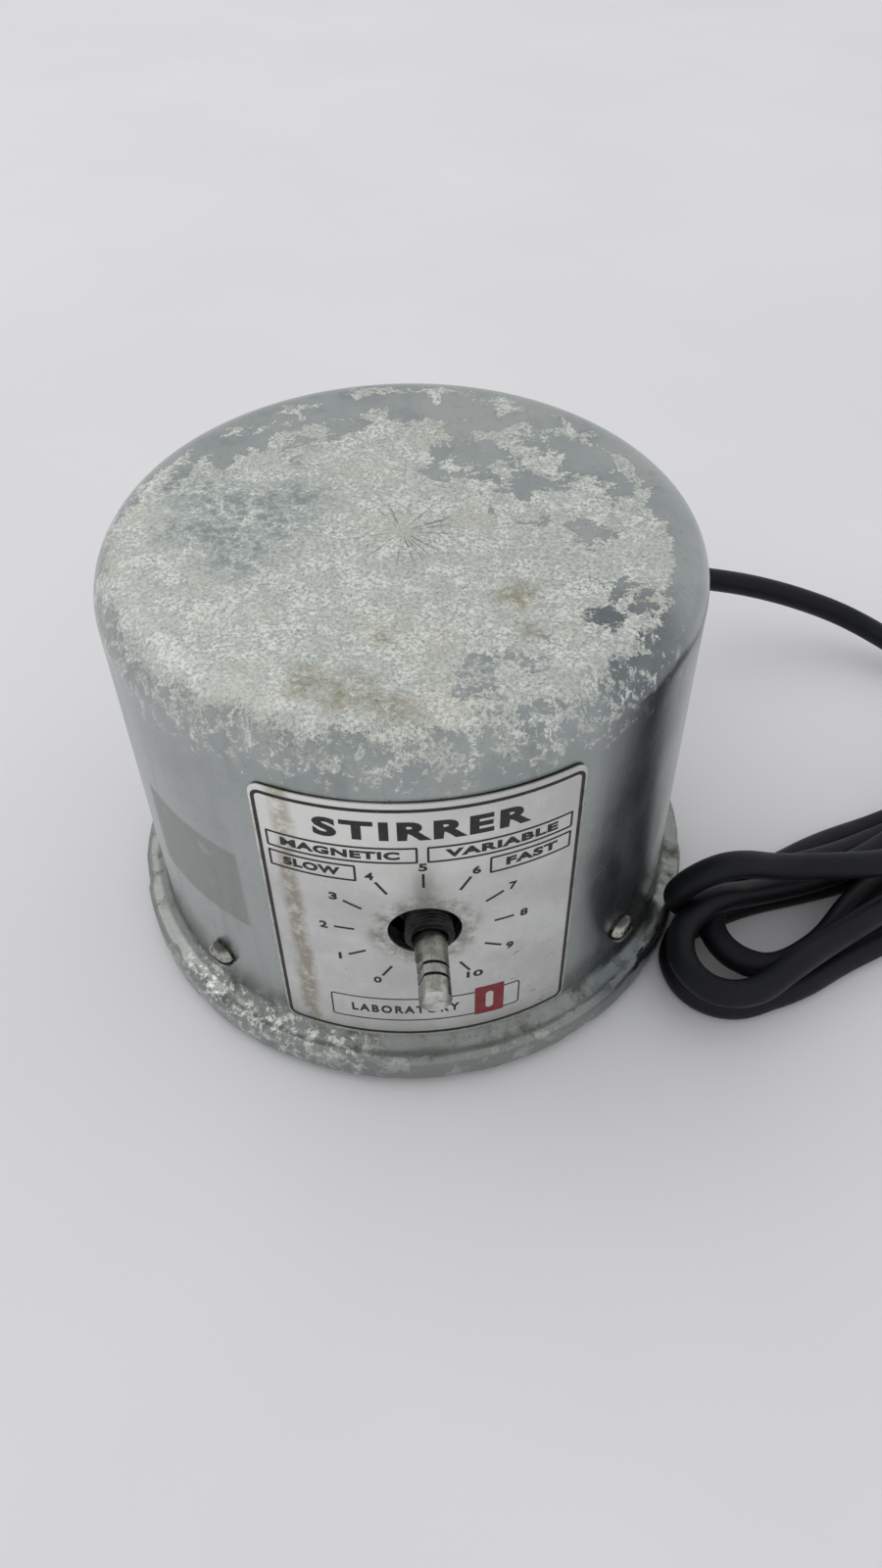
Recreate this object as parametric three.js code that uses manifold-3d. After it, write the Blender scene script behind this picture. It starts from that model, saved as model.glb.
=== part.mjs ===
// Magnetic stirrer: a cast drum with a flanged foot, a shaded-pole motor that turns a bar magnet
// under the flat top, a wire-wound speed control behind the nameplate, and its mains cord.
// Millimetres, +Z up. The object stands on z = 0, and the box around it, cord left out, is
// centred on x = y = 0. The drum's own axis therefore lies at y = DRUM_Y.
import * as THREE from 'three';
import { mergeVertices } from 'three/addons/utils/BufferGeometryUtils.js';
import Module from 'manifold-3d';

const wasm = await Module();
wasm.setup();

// ---- Driving dimensions -------------------------------------------------------------------
const GAP = 0.3; // clearance left between pieces that touch
const DRUM_Y = 4.9; // the drum's axis, in the object's frame

const TOP_Z = 99.5; // flat top that the beaker stands on
const SHOULDER_R = 9; // rounding between top and wall
const WALL_TOP_R = 60; // the cast wall tapers a little for draft
const WALL_BASE_R = 61;
const WALL_BASE_Z = 13;
const WALL_THICK = 3.2;
const ROOF_THICK = 3.5;
const FLANGE_R = 66.7; // 5 1/4 in over the flange
const FLANGE_TOP_Z = 9.5;
const FLANGE_BOTTOM_Z = 2;

const PLATE_HALF = 29.8; // nameplate, half its width straight across
const PLATE_LOW = 12.4;
const PLATE_HIGH = 86.2;
const PLATE_THICK = 0.5;
const HOLE_R = 7.15; // 9/16 in clearance hole for the speed control
const HOLE_Z = 50.4;

const PAN_Z = 8; // underside of the base pan
const PAN_THICK = 1.2;
const PAN_R = 57;
const SCREW_Z = 21.2; // side screws that hold the pan
const SCREW_AZIMUTHS = [-45, 45, 180];
const FOOT_RING_R = 45;

const STATOR_LOW = 40; // lamination stack
const STATOR_HIGH = 60;
const BORE_R = 12.8;
const ROTOR_R = 12.3;
const SHAFT_R = 2.5;
const MOTOR_SCREW_X = 18.5;

const CONTROL_X = 0.9; // the speed control sits a little right of and below the hole's centre
const CONTROL_Z = 49.4;
const CONTROL_SHAFT_R = 3.175; // 1/4 in shaft
const BUSHING_R = 4.76; // 3/8 in thread
const BUSHING_END = 62.5; // distance of the bushing's end in front of the drum's axis
const SHAFT_END = 76.4;
const FLAT_DEPTH = 0.8;
const FLAT_TILT = 17; // degrees that the shaft's flat is turned up from vertical

const CORD_D = 6.4;
const CORD_AZIMUTH = 137; // the cord leaves at the rear right
const CORD_Z = 31;

const rad = THREE.MathUtils.degToRad;
const wallRadius = z => WALL_BASE_R
  - (WALL_BASE_R - WALL_TOP_R) * (z - WALL_BASE_Z) / (TOP_Z - SHOULDER_R - WALL_BASE_Z);

// ---- Materials ----------------------------------------------------------------------------
const material = (color, roughness, metalness) =>
  new THREE.MeshStandardMaterial({ color, roughness, metalness });
const FINISH = {
  casting: [0x8f9592, 0.45, 0.6], plate: [0xc9cac6, 0.4, 0.6], nickel: [0xb4b2a8, 0.3, 0.9],
  steel: [0x9a9c9e, 0.35, 0.9], zinc: [0xa9acae, 0.4, 0.8], lamination: [0x6d7074, 0.5, 0.7],
  copper: [0xb46a3c, 0.4, 0.8], brass: [0xb59a52, 0.35, 0.9], bronze: [0x9c7442, 0.45, 0.8],
  rubber: [0x16171a, 0.7, 0], nylon: [0xd8d2c0, 0.5, 0], ceramic: [0xd9d3c6, 0.6, 0],
  alnico: [0x7c7a78, 0.5, 0.7], carbon: [0x2a2a2c, 0.6, 0.1], darkSteel: [0x33353a, 0.5, 0.8],
};

// ---- Solids -------------------------------------------------------------------------------
/** Turns a closed three.js geometry into a solid that can be cut and joined. */
function solid(geometry) {
  const bare = geometry.index ? geometry.toNonIndexed() : geometry.clone();
  for (const name of Object.keys(bare.attributes)) {
    if (name !== 'position') bare.deleteAttribute(name);
  }
  const merged = mergeVertices(bare, 1e-4);
  const index = merged.index.array;
  const kept = [];
  for (let i = 0; i < index.length; i += 3) {
    const [a, b, c] = [index[i], index[i + 1], index[i + 2]];
    if (a !== b && b !== c && c !== a) kept.push(a, b, c);
  }
  const vertProperties = new Float32Array(merged.attributes.position.array);
  return new wasm.Manifold(
    new wasm.Mesh({ numProp: 3, vertProperties, triVerts: new Uint32Array(kept) }));
}

/** Gives a solid back as a three.js geometry. */
function geometryOf(body) {
  const mesh = body.getMesh();
  const geometry = new THREE.BufferGeometry();
  geometry.setAttribute('position', new THREE.BufferAttribute(mesh.vertProperties, 3));
  geometry.setIndex(new THREE.BufferAttribute(mesh.triVerts, 1));
  geometry.computeVertexNormals();
  return geometry;
}

/** A box from its lowest to its highest corner. */
function box(low, high) {
  const size = high.map((v, i) => v - low[i]);
  const middle = high.map((v, i) => (v + low[i]) / 2);
  return new THREE.BoxGeometry(...size).translate(...middle);
}

/** A round bar along Z. */
function bar(radius, low, high, segments = 24, x = 0, y = 0) {
  return new THREE.CylinderGeometry(radius, radius, high - low, segments)
    .rotateX(Math.PI / 2).translate(x, y, (high + low) / 2);
}

/** A profile of [radius, z] points, listed anticlockwise, turned about Z. */
function turned(profile, segments = 24) {
  const points = profile.map(([r, z]) => new THREE.Vector2(r, z));
  if (profile[0][0] > 0) points.push(points[0].clone());
  return new THREE.LatheGeometry(points, segments).rotateX(Math.PI / 2);
}

/** Points of an arc about [cx, cz], from one angle to another in degrees. */
function arc(cx, cz, radius, from, to, steps) {
  return Array.from({ length: steps + 1 }, (_, i) => {
    const angle = rad(from + (to - from) * i / steps);
    return [cx + radius * Math.cos(angle), cz + radius * Math.sin(angle)];
  });
}

/** A flat outline of [x, y] points, with round holes [x, y, r], raised from low to high. */
function slab(outline, low, high, holes = []) {
  const shape = new THREE.Shape(outline.map(([x, y]) => new THREE.Vector2(x, y)));
  for (const [x, y, r] of holes) {
    shape.holes.push(new THREE.Path().absarc(x, y, r, 0, Math.PI * 2, true));
  }
  const raise = { depth: high - low, bevelEnabled: false, curveSegments: 10 };
  return new THREE.ExtrudeGeometry(shape, raise).translate(0, 0, low);
}

/** Moves a geometry made along +Z so that it points out of the drum. */
function pointOut(geometry, azimuth, z) {
  return geometry.rotateX(Math.PI / 2).translate(0, 0, z).rotateZ(rad(azimuth));
}

/** A tube of a round section that follows a smooth curve through the given points. */
function tube(points, diameter, sides, steps) {
  const through = points.map(p => new THREE.Vector3(...p));
  const curve = new THREE.CatmullRomCurve3(through, false, 'centripetal');
  const section = new THREE.Shape(Array.from({ length: sides }, (_, i) => {
    const angle = 2 * Math.PI * i / sides;
    return new THREE.Vector2(Math.cos(angle), Math.sin(angle)).multiplyScalar(diameter / 2);
  }));
  return new THREE.ExtrudeGeometry(section, { steps, bevelEnabled: false, extrudePath: curve });
}

const cut = (body, ...tools) => tools.reduce((rest, tool) => rest.subtract(tool), body);
const join = (...bodies) => bodies.reduce((whole, next) => whole.add(next));

// ---- Scene graph --------------------------------------------------------------------------
const stirrer = new THREE.Group();
const drum = new THREE.Group();
drum.position.y = DRUM_Y;
stirrer.add(drum);

/** Adds one named piece to a group and returns its mesh. */
function piece(group, name, finish, body, place = [0, 0, 0]) {
  const geometry = body instanceof THREE.BufferGeometry ? geometryOf(solid(body)) : geometryOf(body);
  const mesh = new THREE.Mesh(geometry, material(...FINISH[finish]));
  mesh.name = name;
  mesh.position.set(...place);
  group.add(mesh);
  return mesh;
}

// ---- Housing ------------------------------------------------------------------------------
function makeHousing() {
  const shoulder = [WALL_TOP_R - SHOULDER_R, TOP_Z - SHOULDER_R];
  const inner = WALL_BASE_R - WALL_THICK;
  const roof = TOP_Z - ROOF_THICK;
  const innerRound = 6;
  const fillet = 3.5;
  const profile = [
    [0, roof],
    ...arc(WALL_TOP_R - WALL_THICK - innerRound, roof - innerRound, innerRound, 90, 0, 2),
    [inner, FLANGE_BOTTOM_Z],
    [FLANGE_R - 1, FLANGE_BOTTOM_Z],
    [FLANGE_R, FLANGE_BOTTOM_Z + 1],
    ...arc(FLANGE_R - 1.8, FLANGE_TOP_Z - 1.8, 1.8, 0, 90, 3),
    ...arc(WALL_BASE_R + fillet, FLANGE_TOP_Z + fillet, fillet, 270, 180, 3),
    ...arc(...shoulder, SHOULDER_R, 0, 90, 6),
    [0, TOP_Z],
  ];
  const wallCutter = (radius, azimuth, z) =>
    solid(pointOut(bar(radius, WALL_BASE_R - 8, WALL_BASE_R + 8, 20), azimuth, z));
  return cut(
    solid(turned(profile, 64)),
    wallCutter(HOLE_R, 0, HOLE_Z),
    wallCutter(CORD_D / 2 + 2.6 + GAP, CORD_AZIMUTH, CORD_Z),
    ...SCREW_AZIMUTHS.map(azimuth => wallCutter(2.1 + GAP, azimuth, SCREW_Z)),
  );
}

function makeNameplate() {
  const inside = z => wallRadius(z) + 0.2;
  const ring = [
    [inside(PLATE_LOW), PLATE_LOW], [inside(PLATE_LOW) + PLATE_THICK, PLATE_LOW],
    [inside(PLATE_HIGH) + PLATE_THICK, PLATE_HIGH], [inside(PLATE_HIGH), PLATE_HIGH],
  ];
  const round = 2.5;
  const outline = [
    ...arc(PLATE_HALF - round, PLATE_LOW + round, round, 270, 360, 4),
    ...arc(PLATE_HALF - round, PLATE_HIGH - round, round, 0, 90, 4),
    ...arc(-PLATE_HALF + round, PLATE_HIGH - round, round, 90, 180, 4),
    ...arc(-PLATE_HALF + round, PLATE_LOW + round, round, 180, 270, 4),
  ];
  const window = solid(slab(outline, 40, 70).rotateX(Math.PI / 2));
  return cut(solid(turned(ring, 64)).intersect(window),
    solid(pointOut(bar(HOLE_R, 50, 70, 24), 0, HOLE_Z)));
}

/** A slotted round-head screw along +Z with the underside of its head at z = 0. */
function slottedScrew(headR, headHigh, shankR, long, segments = 12) {
  const crown = arc(0, 0, 1, 0, 90, 3).map(([c, s]) => [headR * c, headHigh * (0.25 + 0.75 * s)]);
  const body = solid(turned([[0, -long], [shankR, -long], [shankR, 0], [headR, 0], ...crown], segments));
  return cut(body, solid(box([-headR - 1, -0.45, headHigh * 0.5], [headR + 1, 0.45, headHigh + 1])));
}

piece(drum, 'housing', 'casting', makeHousing());
piece(drum, 'nameplate', 'plate', makeNameplate());
SCREW_AZIMUTHS.forEach((azimuth, i) => {
  const side = new THREE.Group();
  side.rotation.z = rad(azimuth);
  drum.add(side);
  const place = [0, -wallRadius(SCREW_Z) - GAP, SCREW_Z];
  piece(side, `side_screw_${i + 1}`, 'nickel', slottedScrew(3.3, 2.3, 2.1, 8.5), place)
    .rotation.set(Math.PI / 2, 0, 0);
});

// ---- Base pan and feet --------------------------------------------------------------------
const CONTROL_FOOT_Y = -43;
const CONTROL_FOOT_X = [-9, 9];
const FOOT_AZIMUTHS = [45, 135, 225, 315];

function makeBasePan() {
  const rimHigh = 23.6;
  const dish = [
    [0, PAN_Z], [PAN_R - 1, PAN_Z], [PAN_R, PAN_Z + 1], [PAN_R, rimHigh],
    [PAN_R - PAN_THICK, rimHigh], [PAN_R - PAN_THICK, PAN_Z + PAN_THICK], [0, PAN_Z + PAN_THICK],
  ];
  const through = (radius, x, y) => solid(bar(radius, PAN_Z - 1, PAN_Z + 3, 12, x, y));
  const onRing = (radius, ring, azimuth) =>
    through(radius, ring * Math.sin(rad(azimuth)), -ring * Math.cos(rad(azimuth)));
  return cut(
    solid(turned(dish, 40)),
    ...SCREW_AZIMUTHS.map(azimuth => solid(pointOut(bar(2.1 + GAP, 50, 60, 12), azimuth, SCREW_Z))),
    ...FOOT_AZIMUTHS.map(azimuth => onRing(3, FOOT_RING_R, azimuth)),
    ...[-1, 1].map(side => through(2 + GAP, side * MOTOR_SCREW_X, 0)),
    ...CONTROL_FOOT_X.map(x => through(1.7 + GAP, x, CONTROL_FOOT_Y)),
    ...[0, 60, 120, 180, 240, 300].map(azimuth => onRing(4, 29, azimuth)),
  );
}

piece(drum, 'base_pan', 'zinc', makeBasePan());
FOOT_AZIMUTHS.forEach((azimuth, i) => {
  const panTop = PAN_Z + PAN_THICK;
  const profile = [
    [0, 0], [6.5, 0], [7.4, 1], [7, PAN_Z - GAP], [3 - GAP, PAN_Z - GAP],
    [3 - GAP, panTop + GAP], [4, panTop + GAP], [2.2, panTop + 4], [0, panTop + 4],
  ];
  const x = FOOT_RING_R * Math.sin(rad(azimuth));
  const y = -FOOT_RING_R * Math.cos(rad(azimuth));
  piece(drum, `foot_${i + 1}`, 'rubber', turned(profile, 16), [x, y, 0]);
});

// ---- Motor --------------------------------------------------------------------------------
const motor = new THREE.Group();
drum.add(motor);

const POLE_HALF = 23.5; // half the width of the pole piece
const LEG_Y = [33, 43]; // the leg that carries the coil
const LEG_HALF = 14;
const SHADE_SLOTS = [38, 218]; // azimuths of the two shading-ring slots in the bore

function makeStator() {
  const outline = [
    [-POLE_HALF, -21], [POLE_HALF, -21], [POLE_HALF, LEG_Y[1]], [-POLE_HALF, LEG_Y[1]],
  ];
  const window = slab([[-LEG_HALF, 17.5], [LEG_HALF, 17.5], [LEG_HALF, LEG_Y[0]], [-LEG_HALF, LEG_Y[0]]],
    STATOR_LOW - 1, STATOR_HIGH + 1);
  const holes = [[0, 0, BORE_R], [-MOTOR_SCREW_X, 0, 2 + GAP], [MOTOR_SCREW_X, 0, 2 + GAP]];
  const slots = SHADE_SLOTS.map(azimuth => solid(
    box([-1.2, BORE_R - 3, STATOR_LOW - 1], [1.2, BORE_R + 2.4, STATOR_HIGH + 1]).rotateZ(rad(azimuth))));
  return cut(solid(slab(outline, STATOR_LOW, STATOR_HIGH, holes)), solid(window), ...slots);
}

/** A thick copper wire laid through a slot of the bore, with its ends bent over the stack. */
function shadingRing(azimuth) {
  const reach = BORE_R + 1.1;
  const low = STATOR_LOW - GAP;
  const high = STATOR_HIGH + GAP;
  const half = 0.8;
  const strip = [
    box([-half, reach - half, low - 1.6], [half, reach + half, high + 1.6]),
    box([-half, reach - half, high], [half, reach + 6, high + 1.6]),
    box([-half, reach - half, low - 1.6], [half, reach + 6, low]),
  ];
  return join(...strip.map(part => solid(part.rotateZ(rad(azimuth)))));
}

function makeCoilBobbin() {
  const legTop = STATOR_HIGH + GAP;
  const legLow = STATOR_LOW - GAP;
  const front = LEG_Y[0] - GAP;
  const back = LEG_Y[1] + GAP;
  const core = box([-LEG_HALF + GAP, front - 1, legLow - 1], [LEG_HALF - GAP, back + 1, legTop + 1]);
  const flange = side => box([side > 0 ? LEG_HALF - GAP - 1.2 : -LEG_HALF + GAP, 21, legLow - 9],
    [side > 0 ? LEG_HALF - GAP : -LEG_HALF + GAP + 1.2, back + 8, legTop + 9]);
  return cut(join(solid(core), solid(flange(-1)), solid(flange(1))),
    solid(box([-LEG_HALF - 1, front, legLow], [LEG_HALF + 1, back, legTop])));
}

function makeCoil() {
  const half = LEG_HALF - 2 * GAP - 1.2;
  const [low, high] = [STATOR_LOW - 9, STATOR_HIGH + 9];
  const [front, back] = [22.2, LEG_Y[1] + 7.2];
  const round = 3;
  const outline = [
    ...arc(back - round, low + round, round, 270, 360, 3),
    ...arc(back - round, high - round, round, 0, 90, 3),
    ...arc(front + round, high - round, round, 90, 180, 3),
    ...arc(front + round, low + round, round, 180, 270, 3),
  ];
  // The outline is drawn in Y and Z, and raised along X.
  const [x, y, z] = [[1, 0, 0], [0, 1, 0], [0, 0, 1]].map(axis => new THREE.Vector3(...axis));
  const winding = slab(outline, -half, half).applyMatrix4(new THREE.Matrix4().makeBasis(y, z, x));
  return cut(solid(winding), solid(box(
    [-half - 1, LEG_Y[0] - 2 * GAP - 1, STATOR_LOW - 2 * GAP - 1],
    [half + 1, LEG_Y[1] + 2 * GAP + 1, STATOR_HIGH + 2 * GAP + 1])));
}

/** A stamped bearing bracket: two feet, a raised bridge and a boss for the bush. */
function bearingBracket() {
  const [foot, web, rise, wide] = [13.9, 1.8, 8, 8];
  const hat = join(
    ...[-1, 1].map(side => solid(box([Math.min(side * foot, side * POLE_HALF), -wide, 0],
      [Math.max(side * foot, side * POLE_HALF), wide, web]))),
    ...[-1, 1].map(side => solid(
      box([side * foot - web / 2, -wide, 0], [side * foot + web / 2, wide, rise]))),
    solid(box([-foot - web / 2, -wide, rise - web], [foot + web / 2, wide, rise])),
    solid(bar(7.6, rise - web, rise + 5, 24)),
  );
  return cut(hat, solid(bar(5 + GAP, -1, rise + 6, 24)),
    ...[-1, 1].map(side => solid(bar(2 + GAP, -1, web + 1, 16, side * MOTOR_SCREW_X))));
}

/** The hexagonal nut or head of a fastener, with a hole if holeR is given. */
function hexagon(across, high, holeR = 0) {
  const corners = Array.from({ length: 6 }, (_, i) => [
    across / Math.sqrt(3) * Math.cos(i * Math.PI / 3), across / Math.sqrt(3) * Math.sin(i * Math.PI / 3)]);
  return slab(corners, 0, high, holeR ? [[0, 0, holeR]] : []);
}

const BRACKET_GAP = 0.2;
const UPPER_FACE = STATOR_HIGH + BRACKET_GAP;
const LOWER_FACE = STATOR_LOW - BRACKET_GAP;

piece(motor, 'stator_core', 'lamination', makeStator());
SHADE_SLOTS.forEach((azimuth, i) => {
  piece(motor, `shading_ring_${i + 1}`, 'copper', shadingRing(azimuth));
});
piece(motor, 'coil_bobbin', 'nylon', makeCoilBobbin());
piece(motor, 'coil_winding', 'copper', makeCoil());
piece(motor, 'upper_bearing_bracket', 'zinc', bearingBracket(), [0, 0, UPPER_FACE]);
piece(motor, 'lower_bearing_bracket', 'zinc', bearingBracket(), [0, 0, LOWER_FACE])
  .rotation.set(Math.PI, 0, 0);

const BUSH_LOW = 6; // how far the bush starts beyond the bracket's feet
const BUSH_LONG = 7;
const bush = () => turned([
  [SHAFT_R + 0.1, 0], [5, 0], [5, BUSH_LONG], [SHAFT_R + 0.1, BUSH_LONG]], 24);
piece(motor, 'upper_bush', 'bronze', bush(), [0, 0, UPPER_FACE + BUSH_LOW]);
piece(motor, 'lower_bush', 'bronze', bush(), [0, 0, LOWER_FACE - BUSH_LOW - BUSH_LONG]);

const MOTOR_SCREW_HEAD = UPPER_FACE + 1.8 + BRACKET_GAP;
const PAN_TOP = PAN_Z + PAN_THICK;
[-1, 1].forEach((side, i) => {
  const x = side * MOTOR_SCREW_X;
  const long = MOTOR_SCREW_HEAD - (PAN_Z - 5);
  piece(motor, `motor_screw_${i + 1}`, 'steel', slottedScrew(3.6, 2.6, 2, long), [x, 0, MOTOR_SCREW_HEAD]);
  const spacer = [[2 + GAP, 0], [3.5, 0], [3.5, LOWER_FACE - 1.8 - PAN_TOP - 2 * BRACKET_GAP],
    [2 + GAP, LOWER_FACE - 1.8 - PAN_TOP - 2 * BRACKET_GAP]];
  piece(motor, `motor_spacer_${i + 1}`, 'zinc', turned(spacer, 16), [x, 0, PAN_TOP + BRACKET_GAP]);
  piece(motor, `motor_nut_${i + 1}`, 'steel', hexagon(7, 2.8, 2 + GAP), [x, 0, PAN_Z - BRACKET_GAP - 2.8]);
});

// ---- Rotor and stirring magnet: everything here turns together ----------------------------
const spinner = new THREE.Group();
drum.add(spinner);

const SHAFT_LOW = 25;
const SHAFT_HIGH = 84;
const HUB_LOW = 74.4;
const SET_SCREW_Z = 78;
const MAGNET_LOW = 84.2;
const MAGNET_HIGH = 91.5;
const MAGNET_HALF = [26, 6]; // half its length and half its width
const MAGNET_ROUND = 4;
const MAGNET_SCREW_X = 14.6;
const MAGNET_SCREW_R = 1.4;

piece(spinner, 'motor_shaft', 'steel', turned([
  [0, SHAFT_LOW], [SHAFT_R - 0.5, SHAFT_LOW], [SHAFT_R, SHAFT_LOW + 0.5], [SHAFT_R, SHAFT_HIGH - 0.5],
  [SHAFT_R - 0.5, SHAFT_HIGH], [0, SHAFT_HIGH]], 24));
piece(spinner, 'rotor', 'lamination', turned([
  [SHAFT_R + GAP, STATOR_LOW - 1.2], [9.5, STATOR_LOW - 1.2], [9.5, STATOR_LOW + 0.8],
  [ROTOR_R, STATOR_LOW + 0.8], [ROTOR_R, STATOR_HIGH - 0.8], [9.5, STATOR_HIGH - 0.8],
  [9.5, STATOR_HIGH + 1.2], [SHAFT_R + GAP, STATOR_HIGH + 1.2]], 24));
piece(spinner, 'thrust_washer', 'nylon', turned([
  [SHAFT_R + GAP, 0], [4.6, 0], [4.6, 0.8], [SHAFT_R + GAP, 0.8]], 20),
[0, 0, UPPER_FACE + BUSH_LOW + BUSH_LONG + 0.15]);

function makeMagnetHub() {
  const seatHalf = [18, 8];
  const body = join(
    solid(bar(7, HUB_LOW, 82.2, 24)),
    solid(box([-seatHalf[0], -seatHalf[1], 81], [seatHalf[0], seatHalf[1], MAGNET_LOW - GAP])),
  );
  return cut(body, solid(bar(SHAFT_R + 0.1, HUB_LOW - 1, SHAFT_HIGH + 2, 24)),
    solid(bar(1.8, 0, 12, 12).rotateY(Math.PI / 2).translate(0, 0, SET_SCREW_Z)),
    ...[-1, 1].map(side => solid(bar(MAGNET_SCREW_R + GAP, 80, 86, 12, side * MAGNET_SCREW_X))));
}

piece(spinner, 'magnet_hub', 'zinc', makeMagnetHub());
piece(spinner, 'hub_set_screw', 'darkSteel',
  bar(1.5, SHAFT_R + 0.2, 7.5, 12).rotateY(Math.PI / 2).translate(0, 0, SET_SCREW_Z));

function makeMagnet() {
  const [x, y] = MAGNET_HALF.map(half => half - MAGNET_ROUND);
  const outline = [
    ...arc(x, -y, MAGNET_ROUND, 270, 360, 3), ...arc(x, y, MAGNET_ROUND, 0, 90, 3),
    ...arc(-x, y, MAGNET_ROUND, 90, 180, 3), ...arc(-x, -y, MAGNET_ROUND, 180, 270, 3),
  ];
  const hole = side => bar(MAGNET_SCREW_R + GAP, MAGNET_LOW - 4, MAGNET_HIGH + 4, 12, side * MAGNET_SCREW_X);
  return cut(solid(slab(outline, MAGNET_LOW, MAGNET_HIGH)), solid(hole(-1)), solid(hole(1)));
}

piece(spinner, 'bar_magnet', 'alnico', makeMagnet());
[-1, 1].forEach((side, i) => {
  piece(spinner, `magnet_screw_${i + 1}`, 'brass', slottedScrew(2.6, 1.5, MAGNET_SCREW_R, 9.6),
    [side * MAGNET_SCREW_X, 0, MAGNET_HIGH + 0.2]);
});

// ---- Speed control ------------------------------------------------------------------------
// Its pieces are made along +Z, which is turned to point out of the front of the drum.
const control = new THREE.Group();
control.position.set(CONTROL_X, 0, CONTROL_Z);
control.rotation.x = Math.PI / 2;
drum.add(control);
const controlShaft = new THREE.Group();
controlShaft.position.copy(control.position);
controlShaft.rotation.copy(control.rotation);
drum.add(controlShaft);

const BRACKET_FRONT = 51.6; // front face of the bracket, measured out from the drum's axis
const BRACKET_BACK = 50.1;
const RING_IN = 12.5; // the wire-wound ring
const RING_OUT = 18.5;
const RING_BACK = 34;
const CERAMIC_R = 20;
const CERAMIC_FRONT = 48;
const CERAMIC_BACK = 44.6;

function makeControlBracket() {
  const half = 15;
  const top = 61;
  const plate = slab([
    [CONTROL_X - half, PAN_TOP + GAP - CONTROL_Z], [CONTROL_X + half, PAN_TOP + GAP - CONTROL_Z],
    ...arc(CONTROL_X + half - 6, top - 6 - CONTROL_Z, 6, 0, 90, 3),
    ...arc(CONTROL_X - half + 6, top - 6 - CONTROL_Z, 6, 90, 180, 3),
  ].map(([x, y]) => [x - CONTROL_X, y]), BRACKET_BACK, BRACKET_FRONT, [[0, 0, BUSHING_R + GAP]]);
  const upright = solid(plate.rotateX(Math.PI / 2).translate(CONTROL_X, 0, CONTROL_Z));
  const foot = solid(box([CONTROL_X - half, -BRACKET_FRONT, PAN_TOP + GAP],
    [CONTROL_X + half, CONTROL_FOOT_Y + 6, PAN_TOP + GAP + 1.5]));
  return cut(join(upright, foot),
    ...CONTROL_FOOT_X.map(x => solid(bar(1.7 + GAP, PAN_Z, PAN_Z + 5, 12, x, CONTROL_FOOT_Y))));
}

piece(drum, 'control_bracket', 'zinc', makeControlBracket());
CONTROL_FOOT_X.forEach((x, i) => {
  piece(drum, `bracket_screw_${i + 1}`, 'steel', slottedScrew(3, 2, 1.7, 6),
    [x, CONTROL_FOOT_Y, PAN_Z - BRACKET_GAP]).rotation.set(Math.PI, 0, 0);
});

/** A ring sector from one azimuth to another, measured clockwise from the bottom. */
function sector(inner, outer, from, to, low, high) {
  const point = (r, angle) => [-r * Math.sin(rad(angle)), -r * Math.cos(rad(angle))];
  const steps = Math.ceil((to - from) / 12);
  const angles = Array.from({ length: steps + 1 }, (_, i) => from + (to - from) * i / steps);
  const outline = [...angles.map(a => point(outer, a)), ...angles.reverse().map(a => point(inner, a))];
  return slab(outline, low, high);
}

piece(control, 'rheostat_base', 'ceramic', cut(
  solid(turned([
    [CONTROL_SHAFT_R + 1.2, CERAMIC_BACK], [11.8, CERAMIC_BACK], [11.8, RING_BACK + 2],
    [12.2, RING_BACK + 2], [12.2, CERAMIC_BACK], [CERAMIC_R, CERAMIC_BACK], [CERAMIC_R, CERAMIC_FRONT],
    [CONTROL_SHAFT_R + 1.2, CERAMIC_FRONT]], 28)),
  solid(box([-11, -21, 43], [11, -15, CERAMIC_FRONT + 1]))));
piece(control, 'rheostat_winding', 'darkSteel',
  sector(RING_IN, RING_OUT, 30, 330, RING_BACK, CERAMIC_BACK - GAP));
[-1, 1].forEach((side, i) => {
  const tab = box([side * 8 - 1.8, -24, 40], [side * 8 + 1.8, -16.6, 40.8]);
  piece(control, `end_terminal_${i + 1}`, 'brass', tab);
});
piece(control, 'wiper_terminal', 'brass', join(
  solid(turned([[CONTROL_SHAFT_R + 0.6, 34.6], [8, 34.6], [8, 35.4], [CONTROL_SHAFT_R + 0.6, 35.4]], 24)),
  solid(box([-2, -22.5, 34.6], [2, -6, 35.4]))));
piece(control, 'control_bushing', 'darkSteel', turned([
  [CONTROL_SHAFT_R + 0.08, 48.3], [9, 48.3], [9, 49.8], [BUSHING_R, 49.8],
  [BUSHING_R, BUSHING_END - 0.6], [BUSHING_R - 0.6, BUSHING_END],
  [CONTROL_SHAFT_R + 0.08, BUSHING_END]], 24));
piece(control, 'lock_washer', 'steel', turned([
  [BUSHING_R + 0.2, 0], [7, 0], [7, 0.6], [BUSHING_R + 0.2, 0.6]], 24), [0, 0, BRACKET_FRONT + 0.2]);
piece(control, 'bushing_nut', 'nickel', hexagon(12.5, 2.3, BUSHING_R + 0.2), [0, 0, BRACKET_FRONT + 1]);

function makeControlShaft() {
  const r = CONTROL_SHAFT_R;
  const groove = at => [[r, at - 0.35], [r - 0.4, at - 0.2], [r - 0.4, at + 0.2], [r, at + 0.35]];
  const body = solid(turned([
    [0, 31], [r, 31], ...groove(SHAFT_END - 7), ...groove(SHAFT_END - 4.5),
    [r, SHAFT_END - 0.6], [r - 0.6, SHAFT_END], [0, SHAFT_END]], 24));
  const flat = box([-r - 2, -r - 1, SHAFT_END - 9.6], [-r + FLAT_DEPTH, r + 1, SHAFT_END + 1])
    .rotateZ(-rad(FLAT_TILT));
  return cut(body, solid(flat));
}

piece(controlShaft, 'control_shaft', 'nickel', makeControlShaft());
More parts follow.
